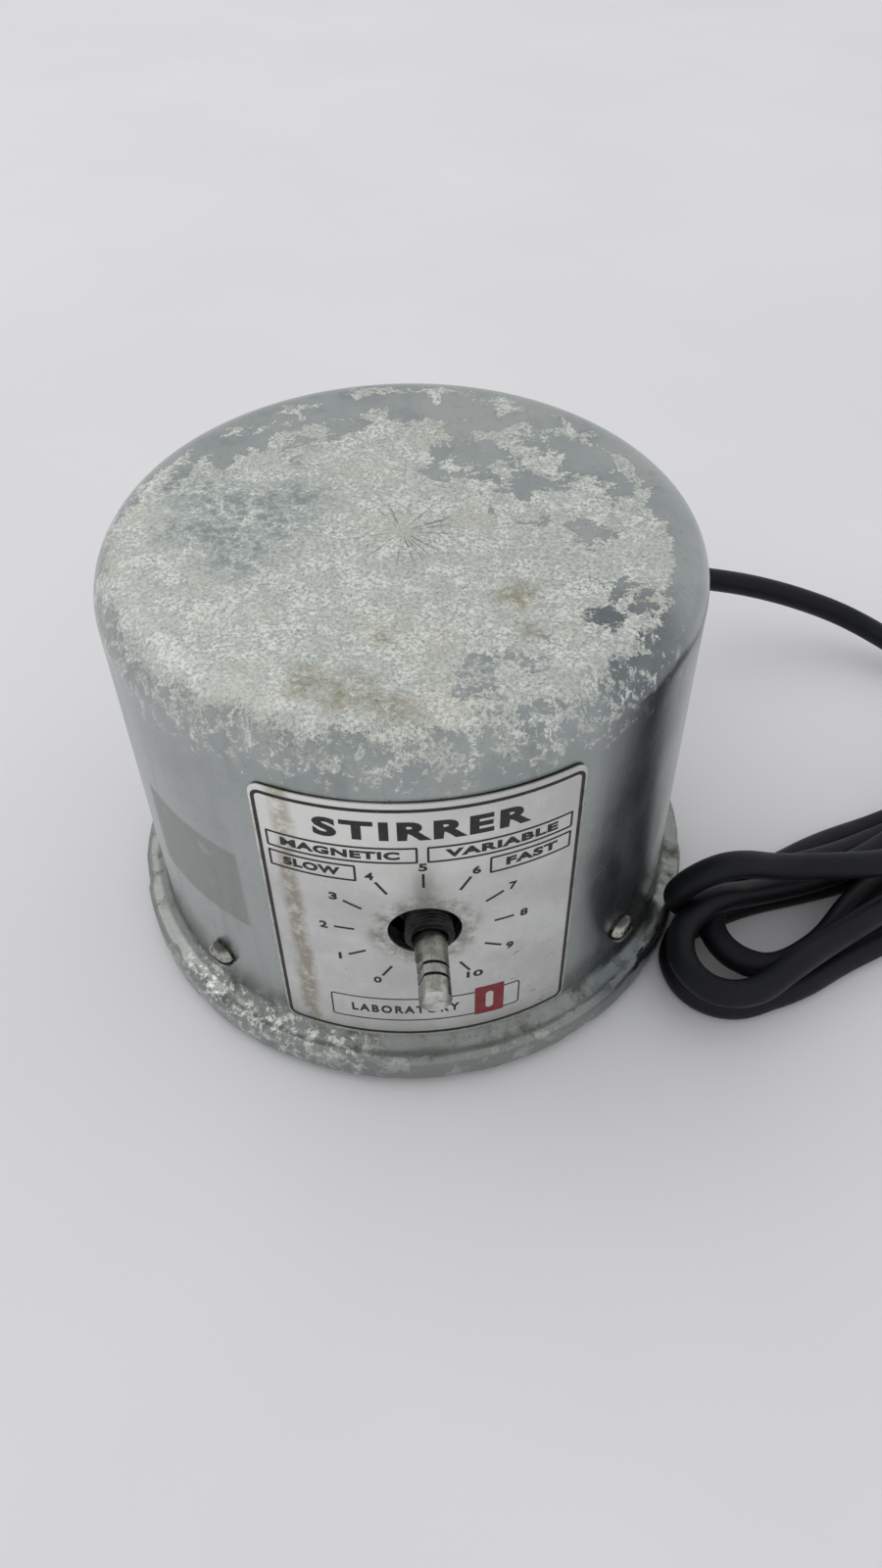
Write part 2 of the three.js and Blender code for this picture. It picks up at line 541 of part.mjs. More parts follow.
// At the anticlockwise stop the arm points to the lower left, seen from the front.
const ARM_ANGLE = 30;
const armPart = geometry => solid(geometry.rotateZ(-rad(ARM_ANGLE)));
piece(controlShaft, 'contact_arm', 'brass', cut(join(
  armPart(bar(6, 31.4, 34, 24)),
  armPart(box([-2.4, -17.5, 31.4], [2.4, -4, 32.6])),
), solid(bar(CONTROL_SHAFT_R + 0.2, 30, 35, 24))));
piece(controlShaft, 'contact_brush', 'carbon', armPart(box([-2, -17.4, 32.7], [2, -13.4, 33.9])));

// ---- Wiring inside ------------------------------------------------------------------------
const LEAD_D = 2.2;
const cordOut = distance => [
  distance * Math.sin(rad(CORD_AZIMUTH)), -distance * Math.cos(rad(CORD_AZIMUTH))];
const lead = (name, finish, points) => piece(drum, name, finish, tube(points, LEAD_D, 6, 20));
const [leadX, leadY] = cordOut(48.4);
lead('lead_cord_to_control', 'carbon', [
  [leadX - 1.4, leadY + 1.2, CORD_Z], [31, 27, 30], [36, 10, 24], [34, -14, 22], [22, -32, 22],
  [CONTROL_X + 8, -41, 22.6]]);
lead('lead_cord_to_coil', 'nylon', [
  [leadX + 1.4, leadY - 1.2, CORD_Z], [31, 21, 34], [29.6, 22, 46], [27, 26, 66], [20, 26, 73],
  [9, 30, 72.6]]);
lead('lead_control_to_coil', 'nylon', [
  [CONTROL_X, -35, 25], [-14, -30, 20], [-31, -14, 22], [-34, 8, 40], [-29, 24, 66], [-20, 27, 73],
  [-9, 30, 72.6]]);

// ---- Cord ---------------------------------------------------------------------------------
const RELIEF_IN = 49; // the strain relief, measured out from the drum's axis
const RELIEF_OUT = 76;

function makeStrainRelief() {
  const bore = CORD_D / 2 + GAP;
  const wallIn = WALL_BASE_R - WALL_THICK - GAP;
  const wallOut = WALL_BASE_R + GAP;
  const neck = CORD_D / 2 + 2.6;
  return turned([
    [bore, RELIEF_IN], [neck + 1.2, RELIEF_IN + 4], [neck + 1.2, wallIn - 0.6], [neck, wallIn - 0.6],
    [neck, wallOut], [neck + 1.4, wallOut + 0.2], [neck + 1.4, wallOut + 2], [neck - 0.4, wallOut + 3],
    [CORD_D / 2 + 1.4, RELIEF_OUT - 1], [CORD_D / 2 + 1, RELIEF_OUT], [bore, RELIEF_OUT]], 16);
}
piece(drum, 'strain_relief', 'rubber', pointOut(makeStrainRelief(), CORD_AZIMUTH, CORD_Z));

// Route of the free cord in the object's own frame: out of the strain relief, in an open sagging
// curve to the right, down to the surface, and up against the far side of the hank.
const alongRelief = distance => {
  const [x, y] = cordOut(distance);
  return [x, y + DRUM_Y, CORD_Z];
};
const CORD_ROUTE = [
  alongRelief(RELIEF_IN + 1), alongRelief(RELIEF_OUT - 9), alongRelief(RELIEF_OUT + 1),
  [61, 68.8, 30.3], [71.5, 74.6, 28.4], [81, 77.2, 26.4], [90.5, 78, 24.2], [103, 77.8, 21.2],
  [117, 75.8, 17.4], [130.5, 71.8, 13.2], [143, 64.2, 9], [154, 53.6, 5.6], [161.6, 42, 3.9],
  [165.8, 31.4, 3.5],
];
piece(stirrer, 'cord', 'rubber', tube(CORD_ROUTE, CORD_D, 8, 34));

// The rest of the cord lies beside the drum as a flattened hank. In this group X runs along the
// hank, away from the drum.
const HANK_TURN = 22; // degrees that the hank's length is turned from +X towards +Y
const HANK_LOW = 0.2;
const HANK_HIGH = 25;
const HANK_NEAR_END = [51.5, -65.5, 15.8]; // middle and radius of the end beside the drum
const HANK_FAR_END = [178, -62, 21];
const TAIL_BEND = 14;
const TAIL_END = [178, -100.3];
const PLUG_BACK = 168;
const PLUG_LONG = 30;
const PLUG_HALF = 12;
const PLUG_HIGH = 14;
const BLADE = { long: 17.5, wide: 6.35, thick: 1.5, apart: 12.7 };
const hank = new THREE.Group();
hank.position.y = DRUM_Y;
hank.rotation.z = rad(HANK_TURN);
stirrer.add(hank);
piece(hank, 'cord_hank', 'rubber', slab([
  ...arc(...HANK_NEAR_END, 95, 270, 10), ...arc(...HANK_FAR_END, -90, 92, 10)], HANK_LOW, HANK_HIGH));
piece(hank, 'cord_tail', 'rubber', tube([
  ...arc(TAIL_END[0], TAIL_END[1] + TAIL_BEND, TAIL_BEND, 10, -90, 5)
    .map(([x, y], i) => [x, y, 4 + i * 0.5]),
  [PLUG_BACK + GAP, TAIL_END[1], 7]], CORD_D, 8, 10));

function makePlugBody() {
  const front = PLUG_BACK - PLUG_LONG;
  const outline = [
    [PLUG_BACK, TAIL_END[1] - 5], [PLUG_BACK, TAIL_END[1] + 5], [PLUG_BACK - 8, TAIL_END[1] + 6.5],
    [PLUG_BACK - 17, TAIL_END[1] + PLUG_HALF], [front, TAIL_END[1] + PLUG_HALF],
    [front, TAIL_END[1] - PLUG_HALF], [PLUG_BACK - 17, TAIL_END[1] - PLUG_HALF],
    [PLUG_BACK - 8, TAIL_END[1] - 6.5],
  ];
  return slab(outline.reverse(), 0.3, PLUG_HIGH);
}
piece(hank, 'plug_body', 'rubber', makePlugBody());
[-1, 1].forEach((side, i) => {
  const y = TAIL_END[1] + side * BLADE.apart / 2;
  const tip = PLUG_BACK - PLUG_LONG - GAP;
  const middle = (PLUG_HIGH + 0.3) / 2;
  piece(hank, `plug_blade_${i + 1}`, 'brass', box(
    [tip - BLADE.long, y - BLADE.thick / 2, middle - BLADE.wide / 2],
    [tip, y + BLADE.thick / 2, middle + BLADE.wide / 2]));
});

export default stirrer;
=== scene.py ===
"""A worn drum-shaped magnetic stirrer with a bare control shaft and its black mains cord.

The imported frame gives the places. Sizes are in millimetres, about the drum's own axis unless a
comment says otherwise, and MM turns them into the frame's metres. +Z is up, -Y is the front.
"""

import math

import bmesh
import bpy
import numpy as np
from mathutils import Matrix, Vector
from mathutils.noise import noise as unevenness


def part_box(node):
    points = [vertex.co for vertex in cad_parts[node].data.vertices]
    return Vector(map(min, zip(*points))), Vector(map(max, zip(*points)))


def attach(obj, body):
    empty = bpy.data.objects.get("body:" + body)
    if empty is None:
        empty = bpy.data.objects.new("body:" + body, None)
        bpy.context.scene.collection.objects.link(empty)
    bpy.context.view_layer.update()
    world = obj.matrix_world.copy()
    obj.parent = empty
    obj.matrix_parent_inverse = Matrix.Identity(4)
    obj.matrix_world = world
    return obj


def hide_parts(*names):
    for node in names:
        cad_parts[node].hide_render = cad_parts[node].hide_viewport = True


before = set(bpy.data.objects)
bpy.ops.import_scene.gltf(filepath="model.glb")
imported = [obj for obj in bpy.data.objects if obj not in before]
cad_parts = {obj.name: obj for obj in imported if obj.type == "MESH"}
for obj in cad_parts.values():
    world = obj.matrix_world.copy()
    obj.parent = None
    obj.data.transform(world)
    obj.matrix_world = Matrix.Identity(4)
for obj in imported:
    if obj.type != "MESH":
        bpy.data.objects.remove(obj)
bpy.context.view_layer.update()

MM = 0.001
ROOT, SPINDLE = "stirrer", "control_spindle"


def box_mm(node):
    """Lowest and highest corner of a CAD node's box, in millimetres."""
    return [Vector(corner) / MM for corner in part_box(node)]


AXIS = sum(box_mm("motor_shaft"), Vector()) / 2 * MM
AXIS.z = 0

# ---- Sizes -------------------------------------------------------------------------------
TOP_Z = box_mm("housing")[1].z
SHOULDER_R = 9
WALL_TOP_R = 60
WALL_R, WALL_BASE = 61, 13
WALL_DRAFT = 77.5  # height over which the wall's radius falls by 1
WALL_THICK = 3.2
ROOF_THICK = 3.5
FLANGE_R = box_mm("housing")[1].x
FLANGE_BOTTOM = box_mm("housing")[0].z
FLANGE_TOP = 9.5
FLANGE_LIP_R = 1.8
FILLET_R = 3.5  # between the wall and the flange
ROOF_ROUND = 6
HOLE_R, HOLE_Z = 7.15, 50.4
CORD_HOLE_R, SCREW_HOLE_R = 6.1, 2.4
SCREW_Z = 21.2
SCREW_AZIMUTHS = [-45, 45, 180]
PLATE_HALF, PLATE_LOW, PLATE_HIGH = 29.8, 12.4, 86.2
PLATE_THICK = 0.5
CONTROL_X, CONTROL_Z = 0.9, 49.4
BUSHING_R, BUSHING_END = 4.76, 62.5
SHAFT_R, SHAFT_BACK, SHAFT_TIP = 3.175, 31, 76.4
GROOVES = [7, 4.5]  # back from the shaft's tip
FOOT_RING_R = 45

CORD_D = 6.4
BEND_R = 2 * CORD_D
CORD_AZIMUTH, CORD_Z = 137, 31
RELIEF_IN, RELIEF_OUT = 49, 76
HANK_TURN = math.radians(22)
TAIL_X, TAIL_T, TAIL_BEND = 178, -100.3, 14
PLUG_BACK, PLUG_LONG = 168, 30


def wall_radius(z):
    return WALL_R - (z - WALL_BASE) / WALL_DRAFT


def added(name, data):
    """A new object in the scene."""
    thing = bpy.data.objects.new(name, data)
    bpy.context.collection.objects.link(thing)
    return thing


def circle(count):
    """Evenly spaced points of the unit circle."""
    return [(math.cos(a), math.sin(a)) for a in (2 * math.pi * k / count for k in range(count))]


# ---- Camera ------------------------------------------------------------------------------
CAMERA_TURNS = (3.448, 47.883, -0.706)  # degrees: to the right, down, and tilted
CAMERA_PLACE = Vector((-3.95, -182.5, 225.9))
LENS, SENSOR, NEAREST = 25.746, 36, 0.01


def make_camera():
    """A camera held above the front edge, looking down at the drum."""
    yaw, pitch, roll = (math.radians(a) for a in CAMERA_TURNS)
    forward = Vector((math.sin(yaw) * math.cos(pitch), math.cos(yaw) * math.cos(pitch), -math.sin(pitch)))
    level = Vector((math.cos(yaw), -math.sin(yaw), 0))
    over = level.cross(forward)
    right = math.cos(roll) * level + math.sin(roll) * over
    up = math.cos(roll) * over - math.sin(roll) * level
    data = bpy.data.cameras.new("camera")
    data.lens, data.sensor_width, data.clip_start = LENS, SENSOR, NEAREST
    camera = added("camera", data)
    turn = Matrix((right, up, -forward)).transposed().to_4x4()
    camera.matrix_world = Matrix.Translation(AXIS + CAMERA_PLACE * MM) @ turn
    bpy.context.scene.camera = camera


make_camera()


# ---- Cord's route ------------------------------------------------------------------------
def along_relief(distance):
    """A point of the cord's exit line, in the object's frame."""
    a = math.radians(CORD_AZIMUTH)
    return (distance * math.sin(a), -distance * math.cos(a) + AXIS.y / MM, CORD_Z)


def hank_point(s, t, z):
    """A point of the hank in the object's frame: s runs along it, away from the drum."""
    return (s * math.cos(HANK_TURN) - t * math.sin(HANK_TURN),
            s * math.sin(HANK_TURN) + t * math.cos(HANK_TURN) + AXIS.y / MM, z)


# The cord's free stretch, in the object's frame, by the same points as the CAD model's.
FREE_ROUTE = [
    along_relief(RELIEF_IN + 1), along_relief(RELIEF_OUT - 9), along_relief(RELIEF_OUT + 1),
    (61, 68.8, 30.3), (71.5, 74.6, 28.4), (81, 77.2, 26.4), (90.5, 78, 24.2), (103, 77.8, 21.2),
    (117, 75.8, 17.4), (130.5, 71.8, 13.2), (143, 64.2, 9), (154, 53.6, 5.6), (161.6, 42, 3.9),
    (165.8, 31.4, 3.5),
]


def hank_end(s, t, radius, z_from, z_to, start, sweep):
    """A turned-back end of the hank, as points of an arc in its own frame."""
    steps = 8
    angles = [math.radians(start + sweep * k / steps) for k in range(steps + 1)]
    return [(s + radius * math.cos(a), t + radius * math.sin(a), z_from + (z_to - z_from) * k / steps)
            for k, a in enumerate(angles)]


def hank_route():
    """The folded turns, top one first: in along the surface, over, and three times round."""
    route = [(163.4, -42.5, 3.2), (160.6, -47, 3.2), (154, -49.8, 3.2), (144, -50.3, 3.2),
             (128, -50, 3.2), (110, -49.4, 3.2), (100, -48, 3.2), (91, -47.3, 3.2),
             (81.3, -47.9, 3.2), (72, -48.8, 3.2), (63, -48.8, 3.4)]
    # The first end by the drum stands up: it climbs from the surface onto the top of the hank.
    route += [(55.5, -48.8, 5), (48.5, -49, 8.5), (42.8, -49.6, 13.5), (40.6, -50.6, 18.5),
              (42.4, -52, 22.6), (47.5, -53.8, 24.8), (55, -56, 24.8), (65, -58.8, 23.4),
              (76, -62.4, 22.4), (88, -67.4, 22), (105, -71, 22), (125, -73, 21.5), (150, -75, 19)]
    route += hank_end(178, -62, 15, 17, 16, -84, 168)
    route += [(150, -50.5, 14.5), (120, -56, 12.5), (95, -59.5, 11.5), (78, -59, 12), (60, -56, 12.8)]
    route += hank_end(46.5, -66.5, 11, 13.4, 12.6, 84, 190)
    route += [(70, -75.5, 14), (100, -73, 14.6), (140, -73, 14.2)]
    route += hank_end(176, -61, 15.5, 13, 10, -84, 168)
    route += [(150, -51, 9.6), (110, -54.5, 9.6), (80, -53.5, 9.6)]
    route += hank_end(61, -62.5, 12.8, 9.6, 9.6, 88, 184)
    route += [(72, -72.8, 9.6), (84, -67, 9.6), (100, -63, 9.6), (120, -63.5, 9.6), (143, -69, 9.6)]
    route += hank_end(175, -61, 15.8, 8, 3.4, -86, 172)
    route += [(150, -57, 3.2), (122, -60, 3.2), (96, -60, 3.2), (72, -55.5, 3.2)]
    route += hank_end(49.5, -64.3, 12.8, 3.2, 3.2, 86, 190)
    route += [(75, -77.3, 3.2), (120, -77, 3.2), (150, -75.5, 3.2), (166, -73, 3.2)]
    route += hank_end(TAIL_X, TAIL_T + TAIL_BEND, TAIL_BEND, 3.6, 6.5, 90, -180)
    return route + [(PLUG_BACK + 0.3, TAIL_T, 7)]


def smooth_line(points, step):
    """A centripetal Catmull-Rom curve through the points, cut into equal steps."""
    p = np.array(points, float)
    p = np.vstack([2 * p[0] - p[1], p, 2 * p[-1] - p[-2]])
    dense = []
    for p0, p1, p2, p3 in zip(p, p[1:], p[2:], p[3:]):
        t1 = np.linalg.norm(p1 - p0) ** 0.5
        t2 = t1 + np.linalg.norm(p2 - p1) ** 0.5
        t3 = t2 + np.linalg.norm(p3 - p2) ** 0.5
        for t in np.linspace(t1, t2, 12, endpoint=False):
            a1 = p0 + (p1 - p0) * t / t1
            a2 = p1 + (p2 - p1) * (t - t1) / (t2 - t1)
            a3 = p2 + (p3 - p2) * (t - t2) / (t3 - t2)
            b1 = a1 + (a2 - a1) * t / t2
            b2 = a2 + (a3 - a2) * (t - t1) / (t3 - t1)
            dense.append(b1 + (b2 - b1) * (t - t1) / (t2 - t1))
    dense = np.array(dense + [p[-2]])
    along = np.r_[0, np.cumsum(np.linalg.norm(np.diff(dense, axis=0), axis=1))]
    marks = np.linspace(0, along[-1], int(round(along[-1] / step)) + 1)
    return np.stack([np.interp(marks, along, dense[:, k]) for k in range(3)], axis=1)


def keep_off_drum(p):
    """How much each point's distance from the drum's axis has to grow for the cord to clear it."""
    reach = CORD_D / 2 + 0.3
    z = p[:, 2]
    distance = np.hypot(p[:, 0], p[:, 1] - AXIS.y / MM)
    lip = FLANGE_LIP_R + reach
    rise = np.clip(z - (FLANGE_TOP - FLANGE_LIP_R), 0, lip)
    beside_flange = FLANGE_R - FLANGE_LIP_R + np.sqrt(np.maximum(lip ** 2 - rise ** 2, 0))
    wall = WALL_R + reach - (z - WALL_BASE) / WALL_DRAFT
    needed = np.where(rise < lip, np.maximum(beside_flange, wall), wall)
    return np.maximum(needed / distance, 1)


def settle(p, loose, rounds=260):
    """Lays the hank down: strands rest on each other, on the surface and against the drum."""
    start = p.copy()
    count = len(p)
    links = np.linalg.norm(np.diff(p, axis=0), axis=1)
    step = links.mean()
    free = loose.astype(float)
    first, second = np.triu_indices(count, int(round(2.5 * CORD_D / step)))

    def part_to(i, j, wanted, firmness):
        apart = p[j] - p[i]
        distance = np.sqrt(np.einsum("ij,ij->i", apart, apart))
        near = distance < wanted
        i, j, apart, distance = i[near], j[near], apart[near], distance[near]
        share = np.maximum(free[i] + free[j], 1)
        move = (firmness * (wanted - distance) / np.maximum(distance, 1e-6) / share)[:, None] * apart
        np.add.at(p, i, -move * free[i, None])
        np.add.at(p, j, move * free[j, None])

    for _ in range(rounds):
        p[:, 2] -= 0.02 * free
        p += 0.015 * (start - p) * free[:, None] * np.array([1, 1, 0.5])
        for span in (2, 4, 7):  # opens the bends towards a radius of BEND_R
            chord = 2 * BEND_R * math.sin(span * step / (2 * BEND_R))
            part_to(np.arange(count - span), np.arange(span, count), chord, 0.25)
        for offset in (0, 1):
            i = np.arange(offset, count - 1, 2)
            link = p[i + 1] - p[i]
            size = np.linalg.norm(link, axis=1)
            share = np.maximum(free[i] + free[i + 1], 1)
            move = ((size - links[i]) / size / share)[:, None] * link
            p[i] += move * free[i, None]
            p[i + 1] -= move * free[i + 1, None]
        part_to(first, second, CORD_D, 0.4)
        grow = np.where(free > 0, keep_off_drum(p), 1)
        p[:, 0] *= grow
        p[:, 1] = (p[:, 1] - AXIS.y / MM) * grow + AXIS.y / MM
        p[:, 2] = np.where(free > 0, np.maximum(p[:, 2], CORD_D / 2), p[:, 2])
        p[1:-1] += 0.15 * ((p[:-2] + p[2:]) / 2 - p[1:-1]) * free[1:-1, None]
    return p


def cord_line():
    """The whole cord's centreline in the object's frame, with its loose points settled."""
    line = smooth_line(FREE_ROUTE + [hank_point(*p) for p in hank_route()], 3)
    start = int(np.argmin(np.linalg.norm(line - np.array(FREE_ROUTE[-2]), axis=1)))
    loose = np.zeros(len(line), bool)
    loose[start:-6] = True
    return settle(line, loose)


# ---- Meshes ------------------------------------------------------------------------------
DRUM = Matrix.Translation(AXIS / MM)


def outward(azimuth, z, x=0):
    """Turns +Z to point out of the drum at an azimuth, measured from the front to the right."""
    turn = Matrix.Rotation(math.radians(azimuth), 4, "Z")
    return DRUM @ turn @ Matrix.Translation((x, 0, z)) @ Matrix.Rotation(math.pi / 2, 4, "X")


def arc(cx, cz, radius, start, end, steps):
    angles = [math.radians(start + (end - start) * k / steps) for k in range(steps + 1)]
    return [(cx + radius * math.cos(a), cz + radius * math.sin(a)) for a in angles]


def from_rings(rings, closed_ends=True, closed_loop=False):
    """A body whose surface runs through equal rings of points."""
    body = bmesh.new()
    rows = [[body.verts.new(p) for p in ring] for ring in rings]
    count = len(rows[0])
    pairs = list(zip(rows, rows[1:])) + ([(rows[-1], rows[0])] if closed_loop else [])
    for low, high in pairs:
        for k in range(count):
            m = (k + 1) % count
            body.faces.new((low[k], low[m], high[m], high[k]))
    if closed_ends and not closed_loop:
        body.faces.new(rows[0][::-1])
        body.faces.new(rows[-1])
    return tidy(body)


def tidy(body):
    bmesh.ops.remove_doubles(body, verts=body.verts, dist=1e-4)
    flat = [f for f in body.faces if f.calc_area() < 1e-9]
    bmesh.ops.delete(body, geom=flat, context="FACES")
    bmesh.ops.recalc_face_normals(body, faces=body.faces)
    return body


def turned(profile, segments=96):
    """A profile of (radius, z) points turned about Z. It closes on itself or ends on the axis."""
    on_axis = profile[0][0] == 0
    rings = [[(r * c, r * s, z) for c, s in circle(segments)] for r, z in profile]
    return from_rings(rings, closed_ends=False, closed_loop=not on_axis)


def bar(radius, low, high, segments=48):
    return turned([(0, low), (radius, low), (radius, high), (0, high)], segments)


def block(low, high):
    body = bmesh.new()
    bmesh.ops.create_cube(body, size=1)
    size = Vector(high) - Vector(low)
    middle = (Vector(high) + Vector(low)) / 2
    bmesh.ops.transform(body, matrix=Matrix.Translation(middle) @ Matrix.Diagonal(size).to_4x4(),
                        verts=body.verts)
    return body


def prism(outline, low, high):
    """A flat outline of (x, y) points raised from low to high."""
    return from_rings([[(x, y, low) for x, y in outline], [(x, y, high) for x, y in outline]])


def moved(body, matrix):
    bmesh.ops.transform(body, matrix=matrix, verts=body.verts)
    return body


def joined(*bodies):
    whole = bodies[0]
    for body in bodies[1:]:
        mesh = bpy.data.meshes.new("part")
        body.to_mesh(mesh)
        whole.from_mesh(mesh)
        bpy.data.meshes.remove(mesh)
    return whole


def scratch_object(body):
    mesh = bpy.data.meshes.new("scratch")
    body.to_mesh(mesh)
    return added("scratch", mesh)


def evaluated(thing):
    """The body that an object has once its modifiers or its curve are worked out."""
    body = bmesh.new()
    body.from_mesh(thing.evaluated_get(bpy.context.evaluated_depsgraph_get()).to_mesh())
    return body


def carved(body, *tools):
    """Cuts the tools out of a body."""
    target = scratch_object(body)
    helpers = [scratch_object(tool) for tool in tools]
    for helper in helpers:
        modifier = target.modifiers.new("cut", "BOOLEAN")
        modifier.operation, modifier.solver, modifier.object = "DIFFERENCE", "EXACT", helper
    result = evaluated(target)
    for thing in [target] + helpers:
        mesh = thing.data
        bpy.data.objects.remove(thing)
        bpy.data.meshes.remove(mesh)
    return result


def piece(name, body, slot, look=None, on=ROOT, crease=35, bevel=0, place=None, replaces=()):
    """Turns a body in millimetres into a named piece that rides on a CAD body."""
    if place is not None:
        moved(body, place)
    moved(body, Matrix.Scale(MM, 4))
    mesh = bpy.data.meshes.new(name)
    body.to_mesh(mesh)
    body.free()
    thing = added(name, mesh)
    mesh.materials.append(look or FINISH[slot])
    mesh.shade_smooth()
    mesh.set_sharp_from_angle(angle=math.radians(crease))
    if bevel:
        modifier = thing.modifiers.new("edges", "BEVEL")
        modifier.width, modifier.segments = bevel * MM, 2
        modifier.limit_method, modifier.angle_limit = "ANGLE", math.radians(50)
        modifier.harden_normals = True
    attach(thing, on)
    if replaces:
        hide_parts(*replaces)
    return thing


# ---- Materials ---------------------------------------------------------------------------
class Look:
    """A material, with short calls for the nodes of its pattern.

    The sizes and depths given to noise, spot and bump are in millimetres. The places that axes
    gives are in metres, and so are the limits that step compares them with.
    """

    def __init__(self, name, color, roughness=0.5, metallic=0.0, specular=0.5):
        self.material = bpy.data.materials.new(name)
        self.material.use_nodes = True
        self.tree = self.material.node_tree
        self.shader = self.tree.nodes["Principled BSDF"]
        self.here = self.tree.nodes.new("ShaderNodeTexCoord").outputs["Object"]
        self.set("Base Color", color)
        self.set("Roughness", roughness)
        self.set("Metallic", metallic)
        self.set("Specular IOR Level", specular)

    def put(self, socket, value):
        if isinstance(value, bpy.types.NodeSocket):
            self.tree.links.new(value, socket)
        elif isinstance(value, (tuple, list)) and len(value) == 3 and socket.type == "RGBA":
            socket.default_value = (*value, 1)
        else:
            socket.default_value = value

    def set(self, name, value):
        self.put(self.shader.inputs[name], value)

    def node(self, kind, inputs, settings=None):
        """A node whose type is named without the ShaderNode that starts every name."""
        node = self.tree.nodes.new("ShaderNode" + kind)
        for key, value in (settings or {}).items():
            setattr(node, key, value)
        for key, value in inputs.items():
            self.put(node.inputs[key], value)
        return node

    def math(self, operation, a, b=0.0):
        return self.node("Math", {0: a, 1: b}, {"operation": operation}).outputs[0]

    def plus(self, a, b):
        return self.math("ADD", a, b)

    def minus(self, a, b):
        return self.math("SUBTRACT", a, b)

    def noise(self, size, detail=4.0, rough=0.55, warp=0.0, at=None, shift=0.0):
        """Cloudy noise from 0 to 1 with features of the given size."""
        where = self.moved(at or self.here, shift) if shift else (at or self.here)
        inputs = {"Vector": where, "Scale": 1 / (size * MM), "Detail": detail, "Roughness": rough,
                  "Distortion": warp}
        return self.node("TexNoise", inputs).outputs["Fac"]

    def moved(self, at, shift):
        return self.node("VectorMath", {0: at, 1: (shift, shift * 0.7, -shift)}).outputs[0]

    def stretched(self, x, y, z):
        """The place, scaled along each axis, for streaks and brushed lines."""
        return self.node("VectorMath", {0: self.here, 1: (x, y, z)},
                         {"operation": "MULTIPLY"}).outputs[0]

    def step(self, value, low, high, to_low=0.0, to_high=1.0):
        """Rises smoothly from to_low to to_high while the value goes from low to high."""
        inputs = {"Value": value, "From Min": low, "From Max": high, "To Min": to_low, "To Max": to_high}
        return self.node("MapRange", inputs, {"interpolation_type": "SMOOTHSTEP"}).outputs[0]

    def mix(self, amount, a, b):
        node = self.tree.nodes.new("ShaderNodeMix")
        node.data_type = "RGBA"
        for index, value in ((0, amount), (6, a), (7, b)):
            self.put(node.inputs[index], value)
        return node.outputs[2]

    def blend(self, amount, a, b):
        """The same as mix, for single values."""
        return self.node("Mix", {0: amount, 2: a, 3: b}).outputs[0]

    def spot(self, x, y, z, radius, soft, ragged=0.0, size=6):
        """1 within a radius of a point about the drum's axis, 0 outside, with a ragged edge."""
        centre = AXIS + Vector((x, y, z)) * MM
        distance = self.node("VectorMath", {0: self.here, 1: tuple(centre)},
                             {"operation": "DISTANCE"}).outputs["Value"]
        if ragged:
            wave = self.math("MULTIPLY", self.math("SUBTRACT", self.noise(size), 0.5), ragged * MM * 4)
            distance = self.math("ADD", distance, wave)
        return self.step(distance, (radius + soft) * MM, (radius - soft) * MM)

    def most(self, *values):
        result = values[0]
        for value in values[1:]:
            result = self.math("MAXIMUM", result, value)
        return result

    def times(self, *values):
        result = values[0]
        for value in values[1:]:
            result = self.math("MULTIPLY", result, value)
        return result

    def length(self, a, b):
        return self.math("SQRT", self.math("ADD", self.times(a, a), self.times(b, b)))

    def over(self, base, tint, *masks):
        """A base colour with a tint over it, as far as all the masks together let it."""
        return self.mix(self.times(*masks), base, tint)

    def axes(self):
        """The place about the drum's axis, as x, y and z."""
        about = self.node("VectorMath", {0: self.here, 1: tuple(AXIS)},
                          {"operation": "SUBTRACT"}).outputs[0]
        return self.node("SeparateXYZ", {0: about}).outputs

    def bump(self, height, depth, strength=1.0, under=None):
        inputs = {"Height": height, "Distance": depth * MM, "Strength": strength}
        if under:
            inputs["Normal"] = under
        return self.node("Bump", inputs).outputs[0]


def light(r, g, b):
    """A display colour from 0 to 255 as the linear values that a shader takes."""
    return tuple((c / 255 / 12.92) if c < 11 else ((c / 255 + 0.055) / 1.055) ** 2.4 for c in (r, g, b))


PAINT, BARE, OXIDE = light(163, 169, 167), light(207, 211, 204), light(229, 232, 226)
BLUE_GREY, GRIME, RUST = light(140, 150, 149), light(88, 82, 70), light(134, 126, 98)
# Islands of whole paint on the top, as x, y and radius.
PAINT_ISLANDS = [(-36, 29, 7), (-25, 35, 9), (-12, 41, 9), (3, 43, 8), (15, 39, 9), (28, 32, 9), (38, 21, 8),
                 (44, 8, 5), (10, 21, 8), (20, 21, 7), (25, 11, 6), (27, -1, 4), (36, -6, 6), (39, -25, 5),
                 (35, -31, 4), (11, -45, 5), (19, -41, 5), (14, -50, 3), (50, 1, 4), (-43, 20, 4)]
BLUE_ZONE = [(-30, 2, 12), (-38, 13, 8), (-22, 8, 8), (-31, -9, 6), (-42, 1, 5)]
STAINS = [(-11, -47, 5), (-4, -51, 4), (-18, -44, 4), (20, -24, 4), (-5, -34, 2), (21, -34, 2)]


